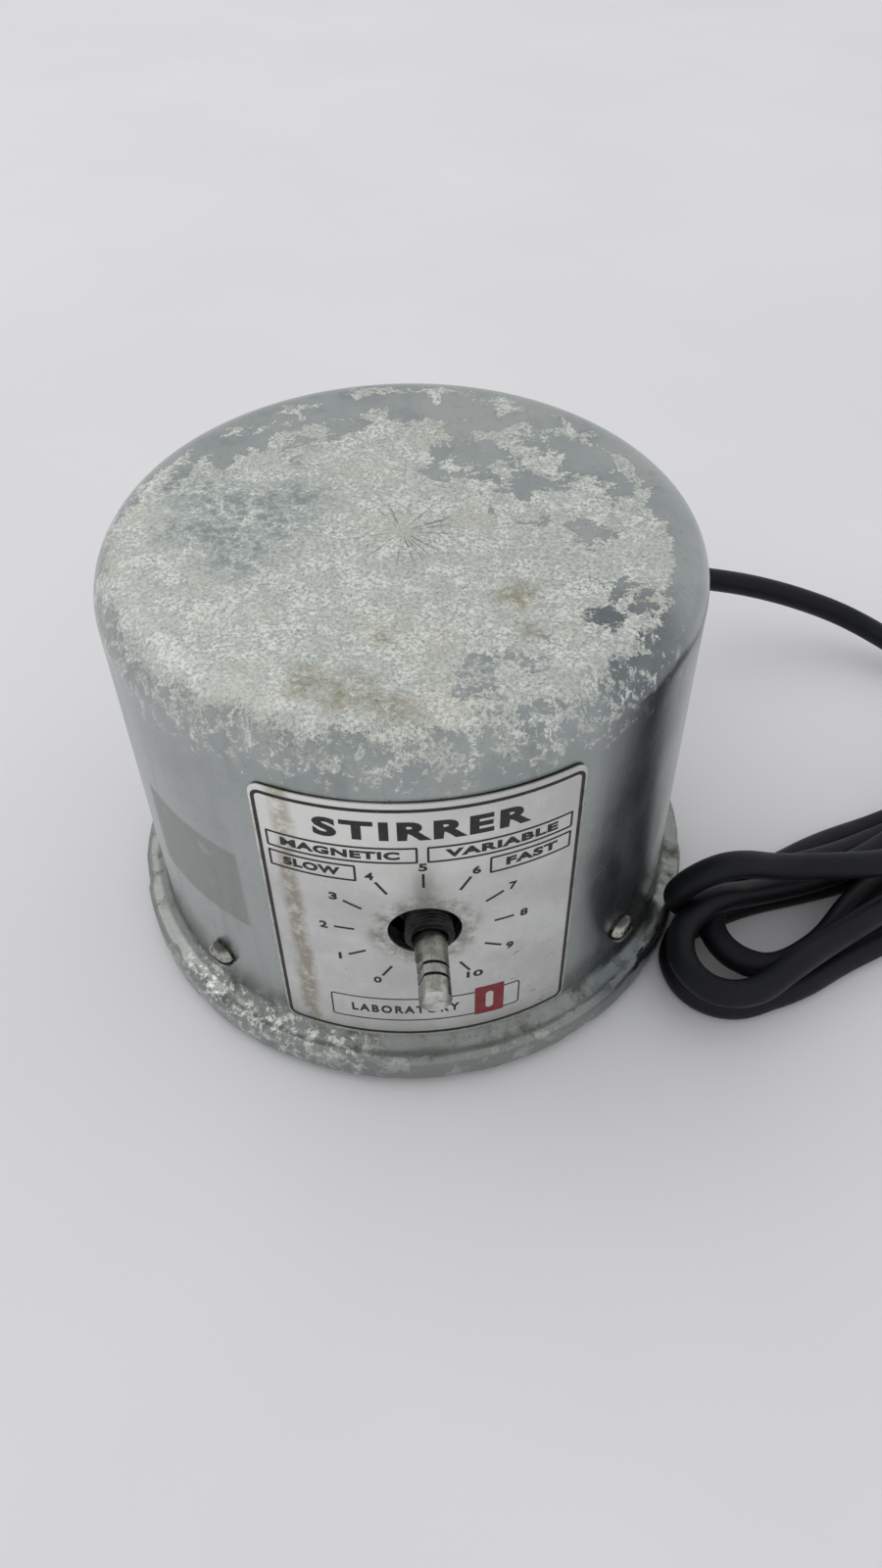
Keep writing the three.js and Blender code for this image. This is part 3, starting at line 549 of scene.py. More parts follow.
def worn_paint():
    """Satin grey paint, rubbed down to the casting on the top and along the foot's edge."""
    look = Look("worn_paint", PAINT, roughness=0.3, metallic=0.9)
    step, times, mix, over = look.step, look.times, look.mix, look.over
    noise, plus, minus = look.noise, look.plus, look.minus
    x, y, z = look.axes()
    radius = look.length(x, y)
    angle = look.math("ARCTAN2", x, times(y, -1))
    cloud = noise(26, 6, 0.6)
    grain = noise(0.75, 6, 0.75)
    chips = noise(11, 12, 0.74, warp=0.35)

    # The flat top.
    islands = look.most(*[look.spot(px, py, TOP_Z, r, 5, 1.5, 9) for px, py, r in PAINT_ISLANDS])
    blue = look.most(*[look.spot(px, py, TOP_Z, r, 5, 1.5, 9) for px, py, r in BLUE_ZONE])
    stain = look.most(*[look.spot(px, py, TOP_Z, r, 2.5, 1.5, 4) for px, py, r in STAINS])
    lean = step(plus(times(x, -0.5), times(y, -0.85)), -0.02, 0.04)
    reach = minus(radius, times(lean, 0.0055))
    rim = step(plus(reach, times(minus(chips, 0.5), 0.03)), 0.0495, 0.0545)
    kept = plus(times(islands, 0.2), times(rim, 0.4))
    field = minus(chips, kept)
    worn = times(step(field, 0.345, 0.36), step(z, 0.0895, 0.0915))
    bare = mix(step(grain, 0.40, 0.58), light(174, 178, 172), OXIDE)
    bare = over(bare, light(176, 180, 174), step(noise(6, 8, 0.72, shift=3), 0.56, 0.46), 0.5)
    bare = over(bare, light(200, 196, 172), step(noise(15, 6, 0.7, shift=14), 0.52, 0.64), 0.25)
    pits = times(step(noise(0.55, 4, 0.8, shift=15), 0.57, 0.62), 0.7)
    bare = mix(pits, bare, light(104, 106, 98))
    bare = over(bare, BLUE_GREY, blue, step(noise(2.2, 8, 0.75, shift=5), 0.6, 0.4))
    bare = over(bare, RUST, stain, step(noise(2, 6, 0.7), 0.35, 0.6), 0.65)

    # Fine scratches that spread from the middle, where the stirring bar was dropped.
    y_from_star = plus(y, 0.003)
    ray = look.math("ARCTAN2", y_from_star, x)
    from_middle = look.length(x, y_from_star)
    around = look.node("CombineXYZ", {0: look.math("COSINE", ray), 1: look.math("SINE", ray)})
    rays = look.node("TexNoise", {"Vector": around.outputs[0], "Scale": 9.0, "Detail": 3.0})
    star = times(step(rays.outputs["Fac"], 0.575, 0.61), step(from_middle, 0.014, 0.004),
                 step(noise(2.2), 0.36, 0.5), 0.75)
    bare = mix(star, bare, light(92, 96, 90))

    # Bright flecks where the front of the shoulder has been knocked.
    fleck_zone = times(step(z, 0.082, 0.094), step(lean, 0.1, 0.8), 0.12)
    flecks = plus(noise(3, 9, 0.78, shift=8), fleck_zone)
    flecks = times(step(flecks, 0.63, 0.645), step(z, 0.082, 0.086))

    # Walls: cloudy paint with faint runs, and the ghost of a label on the left.
    runs = noise(5, 5, 0.6, at=look.stretched(1, 1, 0.08))
    wall = mix(step(cloud, 0.35, 0.65), light(157, 163, 162), light(172, 177, 175))
    wall = over(wall, light(134, 140, 139), step(runs, 0.5, 0.68), 0.35)
    wall = over(wall, GRIME, step(noise(0.9, 4, 0.6, shift=2), 0.66, 0.7), 0.5)
    ghost = times(step(angle, -1.07, -1.05), step(angle, -0.60, -0.62),
                  step(z, 0.0385, 0.0395), step(z, 0.0625, 0.0615),
                  step(noise(5, 8, 0.7, shift=4), 0.3, 0.42))
    wall = over(wall, light(134, 138, 130), ghost, 0.55)

    # The foot: bare bright edge, and grime in the corner above it.
    scuffed = noise(4.5, 9, 0.7, warp=0.3, shift=6)
    foot = times(step(z, 0.0135, 0.011), step(scuffed, 0.3, 0.7, 0.75, 1))
    wall = mix(foot, wall, light(136, 140, 136))
    # Painted shade: the right side of the wall and foot is darkened, standing in for the black cord hank's
    # dark reflection.
    painted_hank_shade = times(step(angle, 0.5, 0.7), step(angle, 1.15, 0.85), step(runs, 0.3, 0.6, 0.6, 0.8))
    wall = mix(painted_hank_shade, wall, light(98, 105, 110))
    edge = times(step(radius, 0.0645, 0.0662), step(scuffed, 0.52, 0.6), step(painted_hank_shade, 0.6, 0.1))
    chipped = times(step(noise(2.2, 9, 0.78, shift=16), 0.52, 0.56), step(z, 0.016, 0.0125),
                    step(angle, -1.1, -0.8), step(angle, -0.1, -0.3))
    corner = times(step(z, 0.017, 0.0105), step(z, 0.0085, 0.0095),
                   step(noise(7, 8, 0.7, shift=9), 0.47, 0.66))
    wall = over(wall, BARE, edge, 0.45)
    wall = over(wall, GRIME, corner, 0.7)
    wall = over(wall, OXIDE, chipped, 0.75)
    nicks = times(step(noise(1.4, 8, 0.75, shift=11), 0.6, 0.66), step(z, 0.012, 0.009))
    wall = over(wall, GRIME, nicks, 0.6)

    color = mix(look.math("MAXIMUM", worn, flecks), wall, bare)
    color = over(color, GRIME, step(noise(1.1, 5, 0.7, shift=13), 0.64, 0.69), 0.5)
    look.set("Base Color", color)
    rough = look.blend(worn, step(cloud, 0.3, 0.7, 0.2, 0.3), step(grain, 0.3, 0.7, 0.4, 0.6))
    rough = look.blend(times(corner, 0.8), rough, 0.8)
    look.set("Roughness", look.blend(times(ghost, 0.6), rough, 0.5))
    look.set("Metallic", look.blend(worn, 0.92, look.blend(step(grain, 0.4, 0.65), 0.7, 0.35)))
    relief = look.bump(times(worn, -1), 0.07)
    relief = look.bump(grain, 0.09, look.blend(worn, 0.12, 0.7), relief)
    look.set("Normal", look.bump(noise(9, 3), 0.12, 0.6, relief))
    return look.material


def plate_metal():
    """The nameplate's satin face, with a dirty run on its left, rub marks round the shaft, painted shade
    above the shaft and a painted reflection over its upper left part.
    """
    look = Look("plate_metal", light(205, 206, 203), roughness=0.38, metallic=0.75)
    step, times, mix, over = look.step, look.times, look.mix, look.over
    noise, plus, minus = look.noise, look.plus, look.minus
    x, y, z = look.axes()
    across = times(look.math("ARCTAN2", x, times(y, -1)), WALL_R * MM)
    fine = noise(0.5, 3, at=look.stretched(1, 1, 0.1))
    color = mix(step(noise(12, 6, 0.65), 0.35, 0.7), light(196, 197, 193), light(214, 215, 212))
    wobble = times(minus(noise(9, 4, shift=1), 0.5), 0.004)
    run = look.math("ABSOLUTE", plus(plus(across, 0.0247), wobble))
    darkening = times(step(run, 0.0028, 0.0006), step(noise(2, 6, 0.7), 0.3, 0.55), 0.65)
    edge = step(look.math("ABSOLUTE", across), 0.0287, 0.0306)
    low = step(z, 0.0165, 0.013)
    darkening = look.most(darkening, times(look.most(edge, low), step(noise(3, 6, 0.7), 0.42, 0.62), 0.5))
    specks = times(step(noise(1, 6, 0.75, shift=7), 0.63, 0.68), 0.55)
    color = mix(look.most(darkening, specks), color, light(140, 128, 104))
    away = look.length(across, minus(z, HOLE_Z * MM))
    rubbed = times(step(away, 0.0122, 0.009), step(noise(3.5, 7, 0.7, shift=12), 0.4, 0.6))
    color = over(color, light(120, 116, 106), rubbed, 0.6)
    # Painted shade: a soft grey vertical band on the plate above the shaft.
    shade_above_shaft = times(step(look.math("ABSOLUTE", across), 0.0026, 0.0006), step(z, 0.056, 0.060),
                   step(z, 0.070, 0.066))
    color = over(color, light(128, 128, 124), shade_above_shaft, 0.45)
    cuts = step(noise(1.1, 2, at=look.stretched(0.5, 0.5, 1.6), shift=5), 0.66, 0.68)
    cuts = times(cuts, step(across, 0.012, 0.018), step(z, 0.044, 0.036))
    color = over(color, light(110, 106, 98), cuts, 0.6)
    # Painted reflection: the plate's upper left part is made paler, turning brownish where it is dirty.
    pale_reflection = mix(darkening, light(240, 240, 235), light(178, 166, 142))
    color = over(color, pale_reflection, step(z, 0.056, 0.078), step(across, 0.03, -0.02), 0.8)
    look.set("Base Color", color)
    look.set("Roughness", look.blend(look.most(darkening, rubbed), step(fine, 0.3, 0.7, 0.32, 0.42), 0.6))
    look.set("Normal", look.bump(fine, 0.01, 0.5, look.bump(noise(16, 2), 0.15, 0.5)))
    return look.material


def metal(name, color, darkening, roughness, size=3.0):
    """Bare or plated metal with tarnish in clouds and fine marks."""
    look = Look(name, color, roughness=roughness, metallic=1)
    cloud = look.noise(size, 7, 0.68)
    fine = look.noise(0.35, 3)
    color = look.over(color, darkening, look.step(cloud, 0.45, 0.68), 0.5)
    look.set("Base Color", color)
    look.set("Roughness", look.step(cloud, 0.35, 0.7, roughness, min(roughness + 0.25, 1)))
    look.set("Normal", look.bump(fine, 0.015, 0.6))
    return look.material


def side_screw_metal():
    """Worn nickel, tarnished in clouds and darker towards the head's top and bottom, with painted shade in
    the slot, which lies level.
    """
    look = Look("side_screw_metal", light(176, 175, 168), roughness=0.24, metallic=1)
    z = look.axes()[2]
    cloud = look.noise(1.2, 6, 0.7)
    # Painted shade along the level slot, plus cloudy tarnish and a darker top and bottom of the head.
    off = look.math("ABSOLUTE", look.minus(z, SCREW_Z * MM))
    darkening = look.most(look.times(look.step(cloud, 0.5, 0.66), 0.8), look.step(off, 0.00062, 0.0004),
                     look.times(look.step(off, 0.0022, 0.0031), 0.75))
    look.set("Base Color", look.mix(darkening, light(176, 175, 168), light(40, 37, 31)))
    look.set("Roughness", look.blend(darkening, 0.22, 0.7))
    look.set("Normal", look.bump(look.noise(0.35, 3), 0.012, 0.6))
    return look.material


def shaft_metal():
    """Nickel on the shaft, browned at its foot, with painted shade down its sides and in its grooves, and the
    turned lines left by a lathe.
    """
    look = Look("shaft_metal", light(204, 203, 197), roughness=0.27, metallic=1)
    x, y, z = look.axes()
    cloud = look.noise(2.2, 7, 0.7)
    turned_lines = look.noise(0.3, 2, at=look.stretched(0.05, 2.5, 0.05))
    foot = look.times(look.step(y, -0.0665, -0.0615), look.step(cloud, 0.3, 0.6, 0.5, 1))
    color = look.over(light(204, 203, 197), light(98, 84, 64), foot, 0.85)
    color = look.over(color, light(112, 108, 98), look.step(cloud, 0.46, 0.62), 0.5)
    # Painted shade: the shaft's two sides, away from its middle, are darkened the way a lit cylinder's sides
    # fall into shade.
    beside = look.math("ABSOLUTE", look.minus(x, CONTROL_X * MM))
    color = look.over(color, light(84, 80, 70), look.step(beside, 0.0012, 0.0029), 0.8)
    # Painted shade: the two turned grooves are darkened nearly to black.
    for back in GROOVES:
        off = look.math("ABSOLUTE", look.plus(y, (SHAFT_TIP - back) * MM))
        color = look.over(color, light(34, 30, 26), look.step(off, 0.00042, 0.00022), 0.9)
    look.set("Base Color", color)
    look.set("Roughness", look.step(cloud, 0.35, 0.7, 0.17, 0.42))
    look.set("Normal", look.bump(turned_lines, 0.008, 0.6))
    return look.material


def rubber(name, color, roughness, dust=0.25, grain=0.4, specular=0.4):
    """Moulded or extruded rubber: a fine grain, dull clouds and a little pale dust."""
    look = Look(name, color, roughness=roughness, specular=specular)
    cloud = look.noise(14, 6, 0.65)
    dusty = look.times(look.step(look.noise(2.5, 8, 0.75, shift=4), 0.55, 0.72), dust)
    look.set("Base Color", look.mix(dusty, color, light(74, 75, 78)))
    look.set("Roughness", look.step(cloud, 0.3, 0.7, roughness - 0.06, roughness + 0.12))
    look.set("Normal", look.bump(look.noise(grain, 3), 0.02, 0.6, look.bump(look.noise(7, 2), 0.1, 0.4)))
    return look.material


def ink(name, color):
    """Printed ink, thin in places."""
    look = Look(name, color, roughness=0.45, specular=0.4)
    thin = look.times(look.step(look.noise(1.2, 8, 0.75), 0.58, 0.7), 0.5)
    look.set("Base Color", look.mix(thin, color, light(120, 120, 116)))
    look.set("Roughness", look.step(look.noise(3), 0.3, 0.7, 0.38, 0.55))
    return look.material


def hard(name, color, dark, roughness, size=3.0, metallic=0.0):
    """Ceramic, nylon, carbon or magnet: a matt body with cloudy tone and a fine rough surface."""
    look = Look(name, color, roughness=roughness, metallic=metallic)
    cloud = look.noise(size, 6, 0.65)
    look.set("Base Color", look.mix(look.step(cloud, 0.38, 0.68), color, dark))
    look.set("Roughness", look.step(cloud, 0.3, 0.7, roughness - 0.05, roughness + 0.1))
    look.set("Normal", look.bump(look.noise(0.5, 5, 0.7), 0.03, 0.7))
    return look.material


def layered(name, color, dark, pitch, roughness):
    """Steel sheets or wire turns stacked along Z, a pitch apart."""
    look = Look(name, color, roughness=roughness, metallic=0.85)
    z = look.axes()[2]
    wave = look.math("SINE", look.math("MULTIPLY", z, 2 * math.pi / (pitch * MM)))
    tone = look.mix(look.step(wave, -1, -0.5, 1, 0), color, dark)
    look.set("Base Color", look.mix(look.step(look.noise(4, 6, 0.7), 0.5, 0.7, 0, 0.4), tone, dark))
    look.set("Normal", look.bump(wave, pitch * 0.15, 0.8))
    return look.material


def floor_paper():
    look = Look("pale_floor", light(238, 237, 239), roughness=0.6, specular=0.25)
    color = look.mix(look.step(look.noise(160, 3), 0.3, 0.7), light(236, 235, 237), light(240, 239, 241))
    look.set("Base Color", color)
    return look.material


# A finish for every material slot of the CAD model. The pieces made below share them.
FINISH = {
    "cast_housing": worn_paint(),
    "nameplate": plate_metal(),
    "nickel_screw": side_screw_metal(),
    "pan_zinc": metal("zinc_pan", light(172, 177, 180), light(118, 122, 122), 0.42, 9),
    "foot_rubber": rubber("foot_rubber", (0.018, 0.018, 0.02), 0.62),
    "lamination": layered("lamination", light(150, 152, 156), light(84, 78, 72), 0.5, 0.45),
    "copper": metal("copper", light(222, 152, 118), light(128, 74, 50), 0.3),
    "enamelled_wire": layered("enamelled_wire", light(178, 92, 44), light(84, 34, 14), 0.45, 0.3),
    "bobbin_nylon": hard("bobbin_nylon", light(226, 220, 200), light(200, 190, 160), 0.45),
    "zinc_plate": metal("zinc_plate", light(188, 190, 186), light(150, 142, 112), 0.34, 5),
    "hub_aluminium": metal("hub_aluminium", light(206, 208, 210), light(150, 152, 154), 0.34, 4),
    "bronze": metal("bronze", light(196, 150, 98), light(108, 74, 44), 0.38, 2),
    "plain_steel": metal("plain_steel", light(180, 180, 182), light(112, 98, 84), 0.32, 3),
    "black_steel": metal("black_steel", light(52, 52, 53), light(30, 28, 26), 0.3, 2),
    "alnico": hard("alnico", light(108, 106, 104), light(72, 70, 70), 0.5, 4, metallic=0.8),
    "brass": metal("brass", light(214, 182, 108), light(132, 98, 50), 0.3, 2.5),
    "ceramic": hard("ceramic", light(232, 228, 214), light(206, 200, 184), 0.4, 5),
    "resistance_wire": layered("resistance_wire", light(160, 158, 154), light(72, 66, 60), 0.6, 0.38),
    "shaft_nickel": shaft_metal(),
    "carbon": hard("carbon", light(48, 48, 50), light(30, 30, 32), 0.5, 1),
    "lead_black": rubber("lead_black", (0.02, 0.02, 0.022), 0.4, 0.1, 0.3),
    "lead_white": rubber("lead_white", light(214, 210, 198), 0.42, 0.2, 0.3),
    "cord_rubber": rubber("cord_rubber", (0.0042, 0.0048, 0.0066), 0.46, 0.08, 0.5, 0.26),
    "plug_rubber": rubber("plug_rubber", (0.007, 0.007, 0.009), 0.5, 0.15, 0.6, 0.32),
}


def finish_cad_nodes():
    """Gives every CAD node the finish of its own material slot."""
    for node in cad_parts.values():
        slot = node.material_slots[0]
        slot.material = FINISH[slot.material.name.split(".")[0]]


finish_cad_nodes()


# ---- Cord, plug and tie ------------------------------------------------------------------
HANK = DRUM @ Matrix.Rotation(HANK_TURN, 4, "Z")
PLUG_Z = 7.15
BLADE_TIP, BLADE_GAP, BLADE_WIDE, BLADE_THICK = 120.2, 12.7, 6.35, 1.5
TIE_S, TIE_WIDE, TIE_THICK = 140, 8, 0.8
# The tie takes in the strands from a little beyond the tail to short of the free stretch.
TIE_FROM, TIE_REACH = TAIL_T + 12, -40


def make_cord(line):
    curve = bpy.data.curves.new("mains_cord", "CURVE")
    curve.dimensions = "3D"
    curve.bevel_depth, curve.bevel_resolution, curve.use_fill_caps = CORD_D / 2 * MM, 6, True
    spline = curve.splines.new("POLY")
    spline.points.add(len(line) - 1)
    for point, place in zip(spline.points, line):
        point.co = (*(place * MM), 1)
    spline.use_smooth = True
    thing = added("mains_cord", curve)
    curve.materials.append(FINISH["cord_rubber"])
    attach(thing, ROOT)
    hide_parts("cord", "cord_hank", "cord_tail")
    return thing


def rounded_section(half_wide, half_high, power):
    """A rounded rectangle, as y and z about its middle. A higher power makes squarer corners."""
    return [(math.copysign(abs(c) ** (2 / power), c) * half_wide,
             math.copysign(abs(s) ** (2 / power), s) * half_high) for c, s in circle(64)]


def make_plug():
    """A moulded two-blade plug with grip ridges and a short sleeve over the cord."""
    outline = [(0, 4.7, 4.5), (1, 5.1, 4.9), (5, 5.4, 5.1), (8, 6.6, 5.5), (11, 9.8, 6), (13.5, 11.4, 6.5)]
    for k in range(5):
        d = 14.5 + 2.3 * k
        outline += [(d, 11.8, 6.8), (d + 1, 11.8, 6.8), (d + 1.3, 11.5, 6.35), (d + 1.9, 11.5, 6.35)]
    outline += [(27, 11.9, 6.8), (29.2, 11.9, 6.8), (29.8, 11.7, 6.5), (PLUG_LONG, 11.2, 6)]
    rings = []
    for d, wide, high in outline:
        power = 2 + 3 * min(d / 13, 1)
        rings.append([(PLUG_BACK - d, TAIL_T + y, PLUG_Z + z) for y, z in rounded_section(wide, high, power)])
    return piece("plug_moulding", from_rings(rings), "plug_rubber", place=HANK, replaces=["plug_body"])


def make_blade(index):
    side = TAIL_T + (index - 1.5) * BLADE_GAP
    half, back = BLADE_WIDE / 2, PLUG_BACK - PLUG_LONG + 0.3
    outline = [(back, -half), (back, half), (BLADE_TIP + 1.6, half), (BLADE_TIP + 0.4, half - 0.7),
               (BLADE_TIP, half - 1.6), (BLADE_TIP, 1.6 - half), (BLADE_TIP + 0.4, 0.7 - half),
               (BLADE_TIP + 1.6, -half)]
    body = prism(outline, -BLADE_THICK / 2, BLADE_THICK / 2)
    hole = moved(bar(1.6, -2, 2, 32), Matrix.Translation((BLADE_TIP + 4, 0, 0)))
    place = HANK @ Matrix.Translation((0, side, PLUG_Z)) @ Matrix.Rotation(math.pi / 2, 4, "X")
    return piece(f"plug_blade_pin_{index}", carved(body, hole), "brass", place=place, bevel=0.15,
                 replaces=[f"plug_blade_{index}"])


def hull(points):
    """The outline round a set of flat points."""
    points = sorted(set(points))

    def side(row):
        line = []
        for p in row:
            while len(line) > 1 and ((line[-1][0] - line[-2][0]) * (p[1] - line[-2][1])
                                     <= (line[-1][1] - line[-2][1]) * (p[0] - line[-2][0])):
                line.pop()
            line.append(p)
        return line[:-1]

    return side(points) + side(points[::-1])


def make_tie(line):
    """A strap round the hank, pulled snug over the strands that it crosses."""
    into = HANK.inverted()
    row = [into @ Vector(p) for p in line]
    around = []
    for a, b in zip(row, row[1:]):
        if (a.x - TIE_S) * (b.x - TIE_S) <= 0 and TIE_FROM < a.y < TIE_REACH:
            reach = CORD_D / 2 + 0.15
            around += [(round(a.y + reach * c, 4), round(a.z + reach * s, 4)) for c, s in circle(32)]
    outline = np.array(hull(around) + hull(around)[:1])
    along = np.r_[0, np.cumsum(np.hypot(*np.diff(outline, axis=0).T))]
    marks = np.linspace(0, along[-1], 120, endpoint=False)
    loop = np.stack([np.interp(marks, along, outline[:, k]) for k in (0, 1)], axis=1)
    away = np.roll(loop, 1, axis=0) - np.roll(loop, -1, axis=0)
    away = np.stack([-away[:, 1], away[:, 0]], axis=1) / np.hypot(*away.T)[:, None]
    away *= np.sign(np.sum(away * (loop - loop.mean(axis=0))))
    rings = []
    for (t, z), (nt, nz) in zip(loop, away):
        z_in, z_out = max(z, 0.2 + TIE_THICK), max(z + nz * TIE_THICK, 0.2)
        t_out = t + nt * TIE_THICK
        half, soft = TIE_WIDE / 2, 0.25
        ring = [(half, 0.15), (half, 0.85), (half - soft, 1), (soft - half, 1), (-half, 0.85), (-half, 0.15),
                (soft - half, 0), (half - soft, 0)]
        rings.append([(TIE_S + s, t + (t_out - t) * h, z_in + (z_out - z_in) * h) for s, h in ring])
    return piece("hank_tie", from_rings(rings, closed_loop=True), "plug_rubber", place=HANK)


cord_path = cord_line()
mains_cord = make_cord(smooth_line([tuple(p) for p in cord_path], 1.5))
plug = make_plug()
blades = [make_blade(k) for k in (1, 2)]
tie = make_tie(cord_path)


# ---- Drum --------------------------------------------------------------------------------
def drum_profile():
    """Half a section of the casting, from the top's middle round the foot to the roof's middle."""
    shoulder_z = TOP_Z - SHOULDER_R
    outside = [(r, TOP_Z) for r in np.linspace(0, WALL_TOP_R - SHOULDER_R, 11)[:-1]]
    outside += arc(WALL_TOP_R - SHOULDER_R, shoulder_z, SHOULDER_R, 90, 0, 16)
    outside += [(wall_radius(z), z) for z in np.linspace(shoulder_z, WALL_BASE, 21)[1:-1]]
    outside += arc(WALL_R + FILLET_R, WALL_BASE, FILLET_R, 180, 270, 8)
    outside += arc(FLANGE_R - FLANGE_LIP_R, FLANGE_TOP - FLANGE_LIP_R, FLANGE_LIP_R, 90, 0, 6)
    outside += [(FLANGE_R, z) for z in (6.2, 4.6)] + [(FLANGE_R, 3), (FLANGE_R - 0.3, 2.3)]
    outside += [(FLANGE_R - 1, FLANGE_BOTTOM), (62, FLANGE_BOTTOM)]
    inner = WALL_R - WALL_THICK
    inside = [(inner, FLANGE_BOTTOM)] + [(inner - 1.2 * k / 9, FLANGE_BOTTOM + 9.8 * k) for k in range(1, 9)]
    inside += arc(50.8, TOP_Z - ROOF_THICK - ROOF_ROUND, ROOF_ROUND, 0, 90, 8)
    inside += [(r, TOP_Z - ROOF_THICK) for r in (36, 18, 0)]
    return outside + inside


def battered(body):
    """Gives the casting the slight unevenness of its skin and the dents along its foot."""
    for vert in body.verts:
        p = vert.co
        radius = math.hypot(p.x, p.y)
        if radius < 1 or p.z > TOP_Z - 0.01 and radius < 20:
            continue
        out = Vector((p.x, p.y, 0)) / radius
        vert.co += out * 0.12 * unevenness(p / 22)
        if radius > FLANGE_R - 1.5:
            dent = max(unevenness(p / 5 + Vector((7, 0, 0))) - 0.12, 0)
            vert.co -= out * (0.9 * dent + 0.06)
            if p.z > FLANGE_BOTTOM + 4:
                vert.co.z -= 0.8 * dent
    return body


def make_drum():
    shell = moved(battered(turned(drum_profile(), 288)), DRUM)
    control = moved(bar(HOLE_R, 52, 66, 96), outward(0, HOLE_Z))
    cord = moved(bar(CORD_HOLE_R, 50, 66, 72), outward(CORD_AZIMUTH, CORD_Z))
    screws = [moved(bar(SCREW_HOLE_R, 50, 66, 40), outward(a, SCREW_Z)) for a in SCREW_AZIMUTHS]
    return piece("drum_shell", carved(shell, joined(control, cord, *screws)), "cast_housing", crease=40,
                 replaces=["housing"])


def make_side_screw(index, azimuth):
    """A slotted screw whose crowned head bears on the wall."""
    seat = wall_radius(SCREW_Z) + 0.3
    profile = [(0, seat + 2.3), (1.2, seat + 2.26), (2.3, seat + 2), (2.95, seat + 1.55), (3.3, seat + 0.9),
               (3.3, seat + 0.15), (3.15, seat), (2.1, seat), (2.1, seat - 8.2), (1.7, seat - 8.6),
               (0, seat - 8.6)]
    slot = block((-5, -0.5, seat + 0.8), (5, 0.5, seat + 4))
    return piece(f"slotted_screw_{index}", carved(turned(profile, 64), slot), "nickel_screw",
                 place=outward(azimuth, SCREW_Z), bevel=0.12, replaces=[f"side_screw_{index}"])


def make_foot(index):
    profile = [(0, 1.2), (3.6, 1.2), (4.2, 0.5), (4.8, 0.05), (6, 0), (6.6, 0.3), (7.15, 1.2), (7.35, 2),
               (7.3, 4), (7.05, 4.6), (7.2, 5.2), (7.1, 7.2), (6.7, 7.65), (2.7, 7.7), (2.7, 9.5),
               (3.9, 9.5), (3.95, 9.8), (2.3, 13), (0, 13.2)]
    a = math.radians(90 * index - 45)
    place = DRUM @ Matrix.Translation((FOOT_RING_R * math.sin(a), -FOOT_RING_R * math.cos(a), 0))
    return piece(f"rubber_foot_{index}", turned(profile, 56), "foot_rubber", place=place,
                 replaces=[f"foot_{index}"])


# ---- Nameplate and its print -------------------------------------------------------------
PLATE_FACE = 0.7  # the plate's face stands this far off the wall
PRINT_HALF = 0.04
BOX_STYLE = (0.3, 0.42)  # corner radius and line width
SMALL_TYPE = {"weight": 0.045, "spacing": 1.1}
DIAL_START, DIAL_STEP = -150, 30  # degrees, clockwise from the top
TICK_HALF, TICK_IN, TICK_OUT = 0.25, 13.4, 17.3
NUMBER_ACROSS, NUMBER_UP, NUMBER_HALF = 19.4, 19.2, 1.05


def flat_curve(outlines, half_thick):
    """Closed outlines in millimetres, filled and given a thickness. An inner outline is a hole."""
    curve = bpy.data.curves.new("flat", "CURVE")
    curve.dimensions, curve.fill_mode, curve.extrude = "2D", "BOTH", half_thick
    for outline in outlines:
        spline = curve.splines.new("POLY")
        spline.points.add(len(outline) - 1)
        for point, (x, y) in zip(spline.points, outline):
            point.co = (x, y, 0, 1)
        spline.use_cyclic_u = True
    return curve


def flat_body(curve):
    """The closed solid of a filled curve."""
    thing = added("flat", curve)
    body = evaluated(thing)
    bpy.data.objects.remove(thing)
    bpy.data.curves.remove(curve)
    bmesh.ops.remove_doubles(body, verts=body.verts, dist=1e-5)
    return body


def rounded_box(left, right, low, high, radius):
    corners = [(right - radius, high - radius, 0), (left + radius, high - radius, 90),
               (left + radius, low + radius, 180), (right - radius, low + radius, 270)]
    return [p for cx, cy, start in corners for p in arc(cx, cy, radius, start, start + 90, 6)]


def frame_line(left, right, low, high, radius, width):
    inner = rounded_box(left + width, right - width, low + width, high - width, max(radius - width, 0.05))
    return flat_body(flat_curve([rounded_box(left, right, low, high, radius), inner], PRINT_HALF))


def lettering(text, left, right, low, high, weight=0.0, spacing=1.0):
    """Plain type fitted to a box."""
    curve = bpy.data.curves.new("type", "FONT")
    curve.body, curve.extrude, curve.offset = text, PRINT_HALF, weight
    curve.space_character, curve.resolution_u = spacing, 4
    body = flat_body(curve)
    xs, ys = [v.co.x for v in body.verts], [v.co.y for v in body.verts]
    for v in body.verts:
        v.co.x = left + (v.co.x - min(xs)) * (right - left) / (max(xs) - min(xs))
        v.co.y = low + (v.co.y - min(ys)) * (high - low) / (max(ys) - min(ys))
    return body


def wrapped(body, face):
    """Bends a flat body round the drum's wall: x runs round it, y up, z out from the face."""
    low, high = (int(f(v.co.x for v in body.verts) // 2) for f in (min, max))
    for k in range(low, high + 1):
        geometry = body.verts[:] + body.edges[:] + body.faces[:]
        bmesh.ops.bisect_plane(body, geom=geometry, plane_co=(2 * k, 0, 0), plane_no=(1, 0, 0))
    for v in body.verts:
        radius = wall_radius(v.co.y) + face + v.co.z
        a = v.co.x / WALL_R
        v.co = (radius * math.sin(a), -radius * math.cos(a), v.co.y)
    bmesh.ops.recalc_face_normals(body, faces=body.faces)
    return body


def make_plate():
    half = WALL_R * math.asin(PLATE_HALF / (WALL_R + PLATE_FACE))
    hole = arc(0, HOLE_Z, HOLE_R, 0, 354, 59)
    bevel = 0.1
    outline = rounded_box(bevel - half, half - bevel, PLATE_LOW + bevel, PLATE_HIGH - bevel, 2.4)
    curve = flat_curve([outline, hole], PLATE_THICK / 2 - bevel)
    curve.bevel_depth, curve.bevel_resolution = bevel, 1
    return piece("plate", wrapped(flat_body(curve), PLATE_FACE - PLATE_THICK / 2), "nameplate", crease=50,
                 place=DRUM, replaces=["nameplate"])


